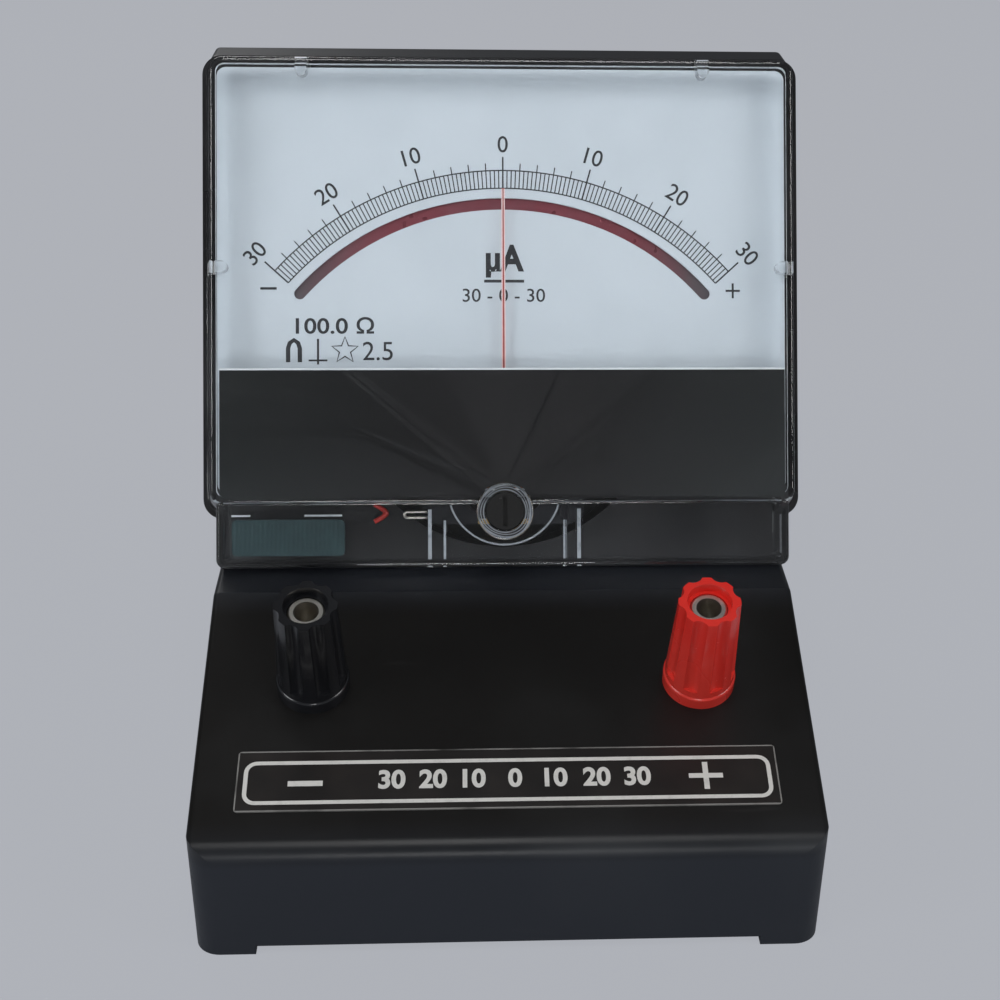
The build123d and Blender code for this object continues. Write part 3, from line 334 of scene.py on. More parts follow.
def lettering(name: str, figures: Iterable[Figure], axes: Axes, low: float, high: float) -> bpy.types.Object:
    """Printed numbers: each is made a mesh, centred, sized, turned and laid on the surface.

    Args:
        name: the piece's name.
        figures: what is printed and where.
        axes: the surface's frame.
        low: the print's lower face along n.
        high: its upper face.

    Returns:
        One object with all of them.
    """
    gathered = Solids(low, high)
    for item in figures:
        mesh = figure_mesh(item)
        co = coordinates(mesh)
        span = np.ptp(co, axis=0)
        size = item.height / span[1]
        centre = (co.max(axis=0) + co.min(axis=0)) / 2
        flat = (co - centre)[:, :2] * np.array([size * item.width, size])
        a = math.radians(-item.turn)
        turned = flat @ np.array([[math.cos(a), math.sin(a)], [-math.sin(a), math.cos(a)]])
        level = low + (co[:, 2] / span[2] + 0.5) * (high - low)
        points = np.column_stack([turned + np.array([item.u, item.v]), level])
        gathered.add(points, [list(p.vertices) for p in mesh.polygons])
        bpy.data.meshes.remove(mesh)
    return gathered.build(name, axes)


# Shaders: maths on sockets, and one small class for each finish.


class Sock:
    """A socket that takes part in sums: each operator adds one Math node."""

    def __init__(self, shader: "Shader", socket: bpy.types.NodeSocket) -> None:
        """Keeps the shader and the socket."""
        self.shader = shader
        self.socket = socket

    def _math(self, operation: str, a: Any, b: Any = 0.0) -> "Sock":
        """Adds a Math node for one operation."""
        return self.shader.node("ShaderNodeMath", {"operation": operation}, {0: a, 1: b})

    def __add__(self, other: Any) -> "Sock":
        """Sum."""
        return self._math("ADD", self, other)

    __radd__ = __add__

    def __sub__(self, other: Any) -> "Sock":
        """Difference."""
        return self._math("SUBTRACT", self, other)

    def __rsub__(self, other: Any) -> "Sock":
        """Difference, with this socket second."""
        return self._math("SUBTRACT", other, self)

    def __mul__(self, other: Any) -> "Sock":
        """Product."""
        return self._math("MULTIPLY", self, other)

    __rmul__ = __mul__

    def __abs__(self) -> "Sock":
        """Size without its sign."""
        return self._math("ABSOLUTE", self)

    def above(self, level: float) -> "Sock":
        """1 where this is over a level, else 0."""
        return self._math("GREATER_THAN", self, level)

    def clipped(self, low: float, high: float) -> "Sock":
        """Goes evenly from 0 at low to 1 at high, and stays in that range."""
        values = {"Value": self, "From Min": low, "From Max": high}
        return self.shader.node("ShaderNodeMapRange", {"clamp": True}, values)


class Shader:
    """One node material."""

    def __init__(self, name: str) -> None:
        """Starts an empty material.

        Args:
            name: the material's name.
        """
        self.material = bpy.data.materials.new(name)
        self.material.use_nodes = True
        self.tree = self.material.node_tree
        self.tree.nodes.clear()

    def add(self, kind: str, settings: Values, values: Values) -> bpy.types.Node:
        """Makes one node.

        Args:
            kind: the node's type.
            settings: its own settings.
            values: numbers, colours or links for its sockets, by name or place.

        Returns:
            The node.
        """
        made = self.tree.nodes.new(kind)
        for key, value in settings.items():
            setattr(made, key, value)
        for key, value in values.items():
            if isinstance(value, Sock):
                self.tree.links.new(value.socket, made.inputs[key])
            else:
                made.inputs[key].default_value = value
        return made

    def node(
        self, kind: str, settings: Values | None = None, values: Values | None = None, output: Any = 0
    ) -> Sock:
        """Makes one node, as add does, and gives one of its outputs."""
        return Sock(self, self.add(kind, settings or {}, values or {}).outputs[output])

    def close(self, surface: Sock) -> bpy.types.Material:
        """Joins a surface to the material's output."""
        self.add("ShaderNodeOutputMaterial", {}, {"Surface": surface})
        return self.material

    def where(self) -> Sock:
        """The point's own place, in metres."""
        return self.node("ShaderNodeTexCoord", output="Object")

    def parts(self, place: Sock) -> tuple[Sock, Sock, Sock]:
        """The three numbers of a point."""
        split = self.node("ShaderNodeSeparateXYZ", values={0: place})
        return tuple(Sock(self, o) for o in split.socket.node.outputs)

    def across(self, axes: Axes) -> tuple[Sock, Sock, Sock]:
        """The point's u, v, n in a frame, in millimetres: its offset from the origin along each axis."""
        dx, dy, dz = (part * 1000.0 - start for part, start in zip(self.parts(self.where()), axes.origin))
        return dx, dy * axes.v[1] + dz * axes.v[2], dy * axes.n[1] + dz * axes.n[2]

    def noise(
        self, scale: float, detail: float = 2.0, roughness: float = 0.5, stretch: Point3 = (1.0, 1.0, 1.0)
    ) -> Sock:
        """Cloudy noise about 0.5, with scale waves for each metre, and stretch a factor on each axis."""
        place = self.node("ShaderNodeMapping", values={"Vector": self.where(), "Scale": stretch})
        return self.node("ShaderNodeTexNoise", values={
            "Vector": place, "Scale": scale, "Detail": detail, "Roughness": roughness})

    def blend(self, share: Any, a: Any, b: Any) -> Sock:
        """Goes from colour a to colour b by a share; each of the three may be a link."""
        first, second = (c if isinstance(c, Sock) else (*c, 1.0) for c in (a, b))
        return self.node("ShaderNodeMix", {"data_type": "RGBA"}, {0: share, 6: first, 7: second}, 2)

    def bump(self, height: Sock, strength: float, distance: float) -> Sock:
        """A normal that follows a height of about 0 to 1, where 1 is a distance in metres."""
        values = {"Strength": strength, "Distance": distance, "Height": height}
        return self.node("ShaderNodeBump", values=values)

    def finish(self, **values: Any) -> bpy.types.Material:
        """Ends with the Principled shader, whose sockets are named with underscores for spaces."""
        named = {key.replace("_", " "): value for key, value in values.items()}
        return self.close(self.node("ShaderNodeBsdfPrincipled", values=named))


@dataclass(frozen=True)
class Moulded:
    """Moulded plastic: fine pebbling, faint flow marks, handling smears and a little dust."""

    name: str
    colour: Colour
    worn: Colour
    roughness: float
    spread: float
    pebble: float
    coat: float = 0.0

    def build(self) -> bpy.types.Material:
        """Makes the material.

        Returns:
            The material.
        """
        s = Shader(self.name)
        smear = s.noise(28.0, detail=3.0, roughness=0.55)
        flow = s.noise(60.0, stretch=(1.0, 0.25, 0.25))
        dust = s.noise(900.0, detail=4.0, roughness=0.7).clipped(0.66, 0.78)
        grain = s.noise(2600.0)
        share = smear.clipped(0.45, 0.8) * 0.35 + dust * 0.10 + flow.clipped(0.5, 0.8) * 0.2
        colour = s.blend(share, self.colour, self.worn)
        rough = (smear - 0.5) * self.spread * 2.0 + self.roughness + dust * 0.1
        return s.finish(Base_Color=colour, Roughness=rough, Coat_Weight=self.coat, Coat_Roughness=0.12,
                        Normal=s.bump(grain + smear * 0.6, self.pebble, 0.00004))


@dataclass(frozen=True)
class DeckMoulding:
    """The stand's black moulding: warm deck, a cooler skirt and back whose cool colour is painted reflection,
    paler rubbed edges, fine pebbling.
    """

    name: str
    warm: Colour
    cool: Colour
    rubbed: Colour
    skirt_z: Point2 = (0.0165, 0.0215)
    back_z: Point2 = (0.0355, 0.0375)
    edge_z: float = 0.0188

    def build(self) -> bpy.types.Material:
        """Makes the material.

        Returns:
            The material.
        """
        s = Shader(self.name)
        z = s.parts(s.where())[2]
        smear = s.noise(24.0, detail=3.0, roughness=0.55)
        grain = s.noise(1900.0, detail=3.0, roughness=0.55)
        dust = s.noise(1100.0, detail=4.0, roughness=0.7).clipped(0.68, 0.80)
        scratch = s.noise(700.0, roughness=0.4, stretch=(0.10, 1.0, 1.0)).clipped(0.72, 0.78)
        # Painted reflection: the skirt, below skirt_z, and the back, above back_z, take the cool colour,
        # which stands in for the bluish reflection on them.
        low = 1.0 - z.clipped(*self.skirt_z) + z.clipped(*self.back_z) * 0.5
        edge_line = abs((z - self.edge_z) * 1000.0).clipped(0.0, 1.5)
        rubbed = (1.0 - edge_line) * smear.clipped(0.35, 0.75) * 0.5
        base = s.blend(low, self.warm, self.cool)
        share = rubbed + dust * 0.08 + scratch * 0.03 + smear.clipped(0.5, 0.8) * 0.12
        colour = s.blend(share, base, self.rubbed)
        rough = 0.36 + (smear - 0.5) * 0.22 + dust * 0.15 + scratch * 0.1
        return s.finish(Base_Color=colour, Roughness=rough, Specular_IOR_Level=0.28,
                        Normal=s.bump(grain + smear * 0.5, 0.22, 0.00005))


@dataclass(frozen=True)
class MaskMoulding:
    """The mask's black plastic, with a pale painted highlight along its top edge."""

    name: str
    black: Colour
    green: Colour
    bevel: Colour
    top: float = 22.3
    bevel_width: float = 0.34
    green_u: Point2 = (14.0, 48.0)

    def build(self) -> bpy.types.Material:
        """Makes the material.

        Returns:
            The material.
        """
        s = Shader(self.name)
        u, v, _ = s.across(FACE)
        cloud = s.noise(22.0)
        grain = s.noise(2400.0)
        side = abs(u).clipped(*self.green_u) * (0.4 + cloud * 0.6)
        base = s.blend(side, self.black, self.green)
        # Painted highlight: a pale line along the mask's top edge.
        colour = s.blend(v.above(self.top - self.bevel_width), base, self.bevel)
        return s.finish(Base_Color=colour, Roughness=0.42 + (cloud - 0.5) * 0.2, Specular_IOR_Level=0.4,
                        Normal=s.bump(grain, 0.15, 0.00003))


@dataclass(frozen=True)
class ClearMoulding:
    """Clear moulded plastic: polished, with faint waves; shadows pass through it."""

    name: str
    tint: Colour
    shadow: Colour = (0.93, 0.94, 0.95)
    wave: float = 0.05
    roughness: float = 0.015

    def build(self) -> bpy.types.Material:
        """Makes the material.

        Returns:
            The material.
        """
        s = Shader(self.name)
        wave = s.noise(70.0)
        fine = s.noise(700.0)
        surface = s.node("ShaderNodeBsdfPrincipled", values={
            "Base Color": (*self.tint, 1.0), "Roughness": fine.clipped(0.62, 0.8) * 0.04 + self.roughness,
            "IOR": 1.49, "Transmission Weight": 1.0, "Normal": s.bump(wave, self.wave, 0.0004)})
        through = s.node("ShaderNodeBsdfTransparent", values={"Color": (*self.shadow, 1.0)})
        shadow = s.node("ShaderNodeLightPath", output="Is Shadow Ray")
        mixed = s.node("ShaderNodeMixShader", values={0: shadow, 1: surface, 2: through})
        return s.close(mixed)


@dataclass(frozen=True)
class Turned:
    """Plated or bare metal, with fine tool lines and dulled patches."""

    name: str
    colour: Colour
    dull: Colour
    roughness: float
    stretch: Point3 = (1.0, 1.0, 0.05)

    def build(self) -> bpy.types.Material:
        """Makes the material.

        Returns:
            The material.
        """
        s = Shader(self.name)
        tooling = s.noise(5200.0, stretch=self.stretch)
        patch = s.noise(160.0, detail=3.0, roughness=0.6)
        share = patch.clipped(0.42, 0.72) * 0.55
        rough = self.roughness + (patch - 0.5) * 0.25 + (tooling - 0.5) * 0.12
        return s.finish(Base_Color=s.blend(share, self.colour, self.dull), Metallic=1.0, Roughness=rough,
                        Normal=s.bump(tooling, 0.12, 0.00002))


@dataclass(frozen=True)
class PrintedSheet:
    """The dial's pale sheet: matt paint with faint clouds, fine tooth and a few specks, darkened towards its
    sides and bottom with painted shade.
    """

    name: str
    pale: Colour
    shade: Colour
    speck: Colour = (0.18, 0.18, 0.19)

    def build(self) -> bpy.types.Material:
        """Makes the material.

        Returns:
            The material.
        """
        s = Shader(self.name)
        u, v, _ = s.across(FACE)
        cloud = s.noise(45.0, detail=3.0, roughness=0.6)
        tooth = s.noise(3200.0, roughness=0.6)
        speck = s.noise(1500.0, roughness=0.6).clipped(0.80, 0.84)
        # Painted shade: the sheet darkens towards its sides and, a little, towards its bottom; the clouds are
        # the paint's own.
        side = abs(u).clipped(20.0, 50.0) * 0.35
        share = cloud.clipped(0.4, 0.8) * 0.35 + side * 0.5 + (1.0 - v.clipped(20.0, 34.0)) * 0.08
        pale = s.blend(share, self.pale, self.shade)
        colour = s.blend(speck * 0.35, pale, self.speck)
        return s.finish(Base_Color=colour, Roughness=0.62 + (cloud - 0.5) * 0.15, Specular_IOR_Level=0.3,
                        Normal=s.bump(tooth, 0.10, 0.00002))


@dataclass(frozen=True)
class SilveredStrip:
    """The arc mirror: its colour, redder in the middle and grey at its ends, is painted reflection."""

    name: str
    middle: Colour
    ends: Colour
    tarnish: Colour = (0.20, 0.12, 0.14)

    def build(self) -> bpy.types.Material:
        """Makes the material.

        Returns:
            The material.
        """
        s = Shader(self.name)
        u = s.across(FACE)[0]
        cloud = s.noise(130.0, detail=3.0, roughness=0.6)
        # Painted reflection: the colour goes from the reddish middle to the grey ends along u; the tarnish
        # clouds are the strip's own.
        share = abs(u + (cloud - 0.5) * 8.0).clipped(22.0, 36.0)
        tinted = s.blend(cloud.clipped(0.45, 0.75) * 0.3, self.middle, self.tarnish)
        return s.finish(Base_Color=s.blend(share, tinted, self.ends), Metallic=0.35,
                        Roughness=0.30 + (cloud - 0.5) * 0.2)


@dataclass(frozen=True)
class PlateFinish:
    """The nameplate: black print on thin metal, bare along its rim."""

    name: str
    black: Colour
    bare: Colour
    thin: Colour = (0.030, 0.021, 0.018)
    half_u: float = 42.4
    low: float = 6.9
    high: float = 17.9
    rim: float = 0.22

    def build(self) -> bpy.types.Material:
        """Makes the material.

        Returns:
            The material.
        """
        s = Shader(self.name)
        u, v, _ = s.across(DECK)
        cloud = s.noise(90.0, detail=3.0, roughness=0.6)
        tooth = s.noise(2600.0, roughness=0.6)
        middle, half_v = (self.low + self.high) / 2.0, (self.high - self.low) / 2.0
        sides = abs(u).above(self.half_u - self.rim)
        rim = (sides + abs(v - middle).above(half_v - self.rim)).clipped(0.0, 1.0)
        worn = rim * (cloud * 1.2).clipped(0.35, 0.62)
        black = s.blend(cloud.clipped(0.4, 0.8) * 0.4, self.black, self.thin)
        return s.finish(Base_Color=s.blend(worn, black, self.bare), Roughness=0.36 + (cloud - 0.5) * 0.2,
                        Specular_IOR_Level=0.45, Normal=s.bump(tooth, 0.08, 0.00002))


@dataclass(frozen=True)
class InkFinish:
    """Ink, paint or a painted highlight: a colour that thins in patches."""

    name: str
    colour: Colour
    thin: Colour
    roughness: float = 0.55

    def build(self) -> bpy.types.Material:
        """Makes the material.

        Returns:
            The material.
        """
        s = Shader(self.name)
        cloud = s.noise(700.0, detail=3.0, roughness=0.65)
        return s.finish(Base_Color=s.blend(cloud.clipped(0.5, 0.75) * 0.5, self.colour, self.thin),
                        Roughness=self.roughness + (cloud - 0.5) * 0.15)


class Along(Enum):
    """The axis that a winding's turns follow, as its place in a frame."""

    U = 0
    V = 1


@dataclass(frozen=True)
class WireWound:
    """Fine turns of enamelled wire, side by side: ridges whose height is the size of sin(pi x / pitch)."""

    name: str
    colour: Colour
    gap: Colour
    pitch: float
    along: Along

    def build(self) -> bpy.types.Material:
        """Makes the material.

        Returns:
            The material.
        """
        s = Shader(self.name)
        along = s.across(FACE)[self.along.value]
        turn = abs(s.node("ShaderNodeMath", {"operation": "SINE"}, {0: along * (math.pi / self.pitch)}))
        tone = s.noise(300.0)
        # Painted shade: the gap colour darkens the grooves between turns.
        share = turn * 0.7 + tone.clipped(0.5, 0.8) * 0.3
        return s.finish(Base_Color=s.blend(share, self.gap, self.colour), Metallic=0.5,
                        Roughness=0.32 + (tone - 0.5) * 0.2, Normal=s.bump(turn, 0.5, 0.00008))


class Finish(Enum):
    """Every finish on the instrument."""

    # The second colour here, the cool one, is painted reflection on the skirt and back.
    STAND = DeckMoulding("stand_moulding", (0.0052, 0.0046, 0.0042), (0.0240, 0.0275, 0.0355),
                         (0.075, 0.080, 0.085))
    PLATE = Moulded("bottom_sheet", (0.020, 0.020, 0.021), (0.07, 0.065, 0.06), 0.6, 0.1, 0.5)
    CASE = Moulded("case_moulding", (0.0090, 0.0090, 0.0105), (0.06, 0.062, 0.068), 0.30, 0.12, 0.15)
    # The third colour here is the painted highlight along the mask's top edge.
    MASK = MaskMoulding("mask_moulding", (0.0065, 0.0062, 0.0075), (0.016, 0.020, 0.021), (0.62, 0.64, 0.66))
    CLEAR = ClearMoulding("clear_moulding", (0.97, 0.985, 0.99))
    # The second colour here is partly the paint's clouds and partly painted shade towards the sides and
    # bottom.
    DIAL = PrintedSheet("dial_paint", (0.58, 0.63, 0.68), (0.44, 0.49, 0.53))
    # The mirror's first two colours are painted reflection: reddish in the middle, grey at the ends.
    MIRROR = SilveredStrip("arc_silvering", (0.225, 0.052, 0.068), (0.125, 0.110, 0.120))
    NAMEPLATE = PlateFinish("nameplate_print", (0.0085, 0.0070, 0.0065), (0.26, 0.255, 0.245))
    INK = InkFinish("black_ink", (0.012, 0.013, 0.017), (0.05, 0.052, 0.06))
    WHITE = InkFinish("white_ink", (0.72, 0.71, 0.68), (0.50, 0.49, 0.46))
    POINTER = InkFinish("pointer_paint", (0.34, 0.060, 0.050), (0.45, 0.12, 0.10), 0.4)
    # The next finish is painted highlight along the pointer's edges.
    POINTER_EDGE = InkFinish("pointer_edge", (0.80, 0.58, 0.57), (0.88, 0.75, 0.74), 0.4)
    RED = Moulded("red_moulding", (0.80, 0.026, 0.018), (0.90, 0.14, 0.10), 0.26, 0.10, 0.10, 0.35)
    BLACK = Moulded("black_gloss_moulding", (0.0075, 0.0078, 0.0095), (0.05, 0.052, 0.06), 0.22, 0.10, 0.10,
                    0.35)
    ADJUSTER = Moulded("adjuster_moulding", (0.018, 0.018, 0.018), (0.07, 0.07, 0.07), 0.30, 0.10, 0.10)
    NICKEL = Turned("nickel_plate", (0.80, 0.77, 0.71), (0.50, 0.46, 0.41), 0.34)
    STEEL = Turned("zinc_plate", (0.55, 0.56, 0.58), (0.32, 0.32, 0.33), 0.34)
    IRON = Turned("oxidised_iron", (0.040, 0.041, 0.046), (0.022, 0.021, 0.022), 0.50, (1.0, 0.1, 1.0))
    MAGNET = Turned("magnet_alloy", (0.16, 0.16, 0.17), (0.09, 0.085, 0.08), 0.5, (0.1, 1.0, 1.0))
    BRASS = Turned("brass", (0.68, 0.47, 0.19), (0.34, 0.22, 0.09), 0.28)
    DARK_BRASS = Turned("darkened_brass", (0.060, 0.052, 0.040), (0.030, 0.026, 0.022), 0.45)
    # The next two finishes are painted highlights, for the chin's bright edges and the cover's light band.
    FROST = InkFinish("painted_edge_highlight", (0.30, 0.32, 0.35), (0.06, 0.07, 0.08), 0.45)
    BRIGHT = InkFinish("bright_edge", (0.62, 0.66, 0.70), (0.25, 0.27, 0.30), 0.35)
    BRONZE = Turned("spring_bronze", (0.62, 0.38, 0.17), (0.38, 0.22, 0.10), 0.30)
    ALUMINIUM = Turned("bare_aluminium", (0.72, 0.73, 0.74), (0.50, 0.50, 0.51), 0.32)
    # In the next two finishes the gap colour is painted shade between the turns.
    WINDING = WireWound("coil_wire", (0.42, 0.13, 0.05), (0.10, 0.03, 0.015), 0.16, Along.V)
    CARD = WireWound("card_wire", (0.030, 0.070, 0.075), (0.010, 0.024, 0.028), 0.22, Along.U)
    BUSH = Moulded("bush_moulding", (0.60, 0.55, 0.44), (0.42, 0.37, 0.28), 0.5, 0.1, 0.2)
    LEAD_RED = Moulded("red_insulation", (0.42, 0.020, 0.014), (0.55, 0.10, 0.07), 0.42, 0.1, 0.1)
    LEAD_BLACK = Moulded("black_insulation", (0.012, 0.012, 0.013), (0.06, 0.06, 0.06), 0.45, 0.1, 0.1)


@cache
def material(finish: Finish) -> bpy.types.Material:
    """The finish's material, made once."""
    return finish.value.build()


def dress(made: bpy.types.Object, finish: Finish, body: str) -> None:
    """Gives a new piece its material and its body.

    Args:
        made: the piece.
        finish: its finish.
        body: the body that it moves with.
    """
    made.data.materials.clear()
    made.data.materials.append(material(finish))
    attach(made, body)
    log.info("piece %s on %s, %d faces", made.name, body, len(made.data.polygons))


def dress_node(node: str, finish: Finish) -> None:
    """Gives a node of the frame its material.

    Args:
        node: the node's name.
        finish: its finish.
    """
    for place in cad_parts[node].material_slots:
        place.material = material(finish)
    log.info("node %s is %s", node, finish.value.name)


# Sub-assemblies: each class builds its own pieces and dresses them.


@dataclass
class FrameFinishes:
    """The finishes of all the frame's nodes."""

    by_finish: dict[Finish, tuple[str, ...]] = field(default_factory=lambda: {
        Finish.STAND: ("stand_housing",),
        Finish.PLATE: ("bottom_plate",),
        Finish.CASE: ("meter_body",),
        Finish.CLEAR: ("clear_cover",),
        Finish.MASK: ("mask_plate",),
        Finish.DIAL: ("dial_plate",),
        Finish.MIRROR: ("mirror_strip",),
        Finish.NAMEPLATE: ("label_plate",),
        Finish.STEEL: ("bottom_screws", "dial_screws", "mounting_studs", "mounting_nuts", "coil_pivot_front",
                       "coil_pivot_rear"),
        Finish.BRASS: ("meter_terminals", "meter_terminal_nuts", "core_carriers", "rear_bridge",
                       "jewel_screw_front", "jewel_screw_rear", "spring_anchor", "balance_weights",
                       "post_nut_left", "post_nut_right"),
        Finish.DARK_BRASS: ("zero_lever", "front_bridge"),
        Finish.NICKEL: ("meter_tags", "post_stud_left", "post_stud_right", "post_washer_left",
                        "post_washer_right", "post_tag_left", "post_tag_right"),
        Finish.MAGNET: ("magnet",),
        Finish.IRON: ("pole_piece_left", "pole_piece_right", "core", "movement_screws", "bridge_screws"),
        Finish.CARD: ("resistor_card",),
        Finish.ALUMINIUM: ("coil_former",),
        Finish.WINDING: ("coil_winding",),
        Finish.POINTER: ("needle",),
        Finish.BRONZE: ("hairspring_front", "hairspring_rear"),
        Finish.ADJUSTER: ("zero_screw",),
        Finish.BLACK: ("post_collar_left", "post_cap_left"),
        Finish.RED: ("post_collar_right", "post_cap_right"),
        Finish.BUSH: ("post_bush_left", "post_bush_right"),
        Finish.LEAD_BLACK: ("lead_left",),
        Finish.LEAD_RED: ("lead_right",),
    })

    def build(self) -> None:
        """Dresses every node, and reports any that has no finish."""
        for finish, nodes in self.by_finish.items():
            for node in nodes:
                dress_node(node, finish)
        for node in sorted(set(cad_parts).difference(*self.by_finish.values())):
            log.warning("node %s has no finish", node)


@dataclass
class DialPrint:
    """The dial's scale, numbers and signs, a thin print on the sheet."""

    outer_arc: float = 52.66
    inner_arc: float = 49.59
    major_end: float = 55.0
    medium_end: float = 53.95
    half_span: float = 47.95
    divisions: int = 30
    halves_per_major: int = 20
    halves_per_medium: int = 4
    arc_points: int = 121
    line: float = 0.21
    fine_share: float = 0.9
    bold_share: float = 1.25
    low: float = DIAL_N - 0.02
    high: float = DIAL_N + 0.02
    number_radius: float = 57.2
    number_height: float = 2.85
    number_width: float = 0.98
    number_weight: float = 0.004
    unit_rows: tuple[Figure, ...] = (
        Figure("µA", 5.7, 0.3, 41.0, width=0.88, weight=0.035),
        Figure("30 - 0 - 30", 2.3, 0.1, 35.1, width=1.05, weight=0.004),
    )
    small_rows: tuple[Figure, ...] = (
        Figure("100.0 Ω", 2.9, -28.9, 29.9, width=1.18, weight=0.015),
        Figure("2.5", 3.2, -21.6, 25.5),
    )
    minus: Bar = Bar((-41.6, 36.25), (-38.8, 36.25), 0.42)
    plus_flat: Bar = Bar((38.6, 35.9), (41.1, 35.9), 0.36)
    plus_upright: Bar = Bar((39.85, 34.6), (39.85, 37.2), 0.36)
    unit_line: Bar = Bar((-3.3, 37.54), (3.6, 37.54), 0.5)
    crossing_lift: float = 0.004
    arch: tuple[Point2, ...] = ((-36.9, 23.6), (-36.9, 26.0), (-36.6, 26.9), (-35.9, 27.4), (-35.2, 26.9),
                                (-34.9, 26.0), (-34.9, 23.6))
    arch_line: float = 0.75
    foot: Bar = Bar((-33.4, 23.9), (-30.2, 23.9), 0.32)
    upright: Bar = Bar((-31.8, 23.2), (-31.8, 27.6), 0.36)
    star_middle: Point2 = (-27.2, 25.6)
    star_radii: Point2 = (2.35, 1.0)
    star_line: float = 0.26

    def ink(self, made: bpy.types.Object) -> None:
        """Dresses one piece of print."""
        dress(made, Finish.INK, "stand")

    def scale(self) -> None:
        """Adds two arcs joined by ticks: that of k half divisions is k half_span / 60 from the middle."""
        solids = Solids(self.low, self.high)
        for radius in (self.inner_arc, self.outer_arc):
            solids.band(arc_line(radius, -self.half_span, self.half_span, self.arc_points), self.line, False)
        steps = 2 * self.divisions
        for k in range(-steps, steps + 1):
            end, width = self.outer_arc, self.line * self.fine_share
            if k % self.halves_per_major == 0:
                end, width = self.major_end, self.line * self.bold_share
            elif k % self.halves_per_medium == 0:
                end = self.medium_end
            a = math.radians(k * self.half_span / steps)
            start, stop = ((r * math.sin(a), PIVOT_V + r * math.cos(a)) for r in (self.inner_arc, end))
            solids.bars(Bar(start, stop, width))
        self.ink(solids.build("dial_scale", FACE))

    def numbers(self) -> None:
        """Adds the numbers 30 to 0 to 30, each square to its radius."""
        figures = []
        for value in NUMBERS:
            turn = value / self.divisions * self.half_span
            u, v = arc_line(self.number_radius, turn, turn, 1)[0]
            figures.append(Figure(str(abs(value)), self.number_height, u, v, turn, self.number_width,
                                  self.number_weight))
        self.ink(lettering("dial_numbers", figures, FACE, self.low, self.high))

    def signs(self) -> None:
        """Adds the minus and plus at the scale's ends, and the line under the unit sign."""
        solids = Solids(self.low, self.high)
        solids.bars(self.minus, self.plus_flat)
        solids.bars(self.plus_upright, lift=self.crossing_lift)
        solids.bars(self.unit_line)
        self.ink(solids.build("dial_signs", FACE))

    def symbols(self) -> None:
        """Adds the signs of a moving coil and of upright use, and a star: ten points in turn on two radii."""
        solids = Solids(self.low, self.high)
        solids.band(np.array(self.arch), self.arch_line, False)
        solids.bars(self.foot, self.upright)
        k = np.arange(10)
        a = np.radians(90 + 36 * k)
        r = np.where(k % 2 == 0, *self.star_radii)
        star = np.column_stack([r * np.cos(a), r * np.sin(a)]) + np.array(self.star_middle)
        solids.band(star, self.star_line, True)
        self.ink(solids.build("dial_symbols", FACE))

    def build(self) -> None:
        """Prints the dial."""
        self.scale()
        self.numbers()
        self.ink(lettering("dial_unit", self.unit_rows, FACE, self.low, self.high))
        self.signs()
        self.symbols()
        self.ink(lettering("dial_small_numbers", self.small_rows, FACE, self.low, self.high))


@dataclass
class Nameplate:
    """The deck's nameplate: a white rounded frame, the signs of the posts and plain numbers."""

    half_u: float = 41.3
    low: float = 8.1
    high: float = 16.0
    radius: float = 2.0
    line: float = 0.66
    print_low: float = 0.24
    print_high: float = 0.28
    minus: Bar = Bar((-34.4, 11.85), (-29.0, 11.85), 0.95)
    plus_flat: Bar = Bar((28.2, 12.3), (33.6, 12.3), 0.85)
    plus_upright: Bar = Bar((30.9, 9.8), (30.9, 14.8), 0.85)
    crossing_lift: float = 0.004
    number_height: float = 3.5
    number_width: float = 0.95
    number_weight: float = 0.035
    number_middle: Point2 = (0.9, 12.4)
    number_step: float = 0.64

    def build(self) -> None:
        """Prints the nameplate: each number stands number_step times its value from the middle one."""
        rim = Solids(self.print_low, self.print_high)
        inset = self.line / 2
        outline = rounded_line(self.half_u - inset, self.low + inset, self.high - inset, self.radius - inset)
        rim.band(outline, self.line, True)
        signs = Solids(self.print_low, self.print_high)
        signs.bars(self.minus, self.plus_flat)
        signs.bars(self.plus_upright, lift=self.crossing_lift)
        u, v = self.number_middle
        figures = [Figure(str(abs(value)), self.number_height, u + self.number_step * value, v,
                          width=self.number_width, weight=self.number_weight) for value in NUMBERS]
        for made in (rim.build("nameplate_frame", DECK), signs.build("nameplate_signs", DECK),
                     lettering("nameplate_numbers", figures, DECK, self.print_low, self.print_high)):
            dress(made, Finish.WHITE, "stand")


@dataclass
class Pointer:
    """The pale edges that catch the light along the pointer's blade."""

    blade_n: float = -5.85
    half_thick: float = 0.10
    start: float = 14.0
    end: float = 49.3
    half_root: float = 0.37
    half_tip: float = 0.29
    edge: float = 0.19
    film: float = 0.02

    def build(self) -> None:
        """Adds one thin strip along each edge of the blade."""
        low = self.blade_n + self.half_thick
        strips = Solids(low, low + self.film)
        right = Bar((self.half_root - self.edge / 2, PIVOT_V + self.start),
                    (self.half_tip - self.edge / 2, PIVOT_V + self.end), self.edge)
        strips.bars(right.mirrored(), right)
        dress(strips.build("pointer_edges", FACE), Finish.POINTER_EDGE, "moving_coil")


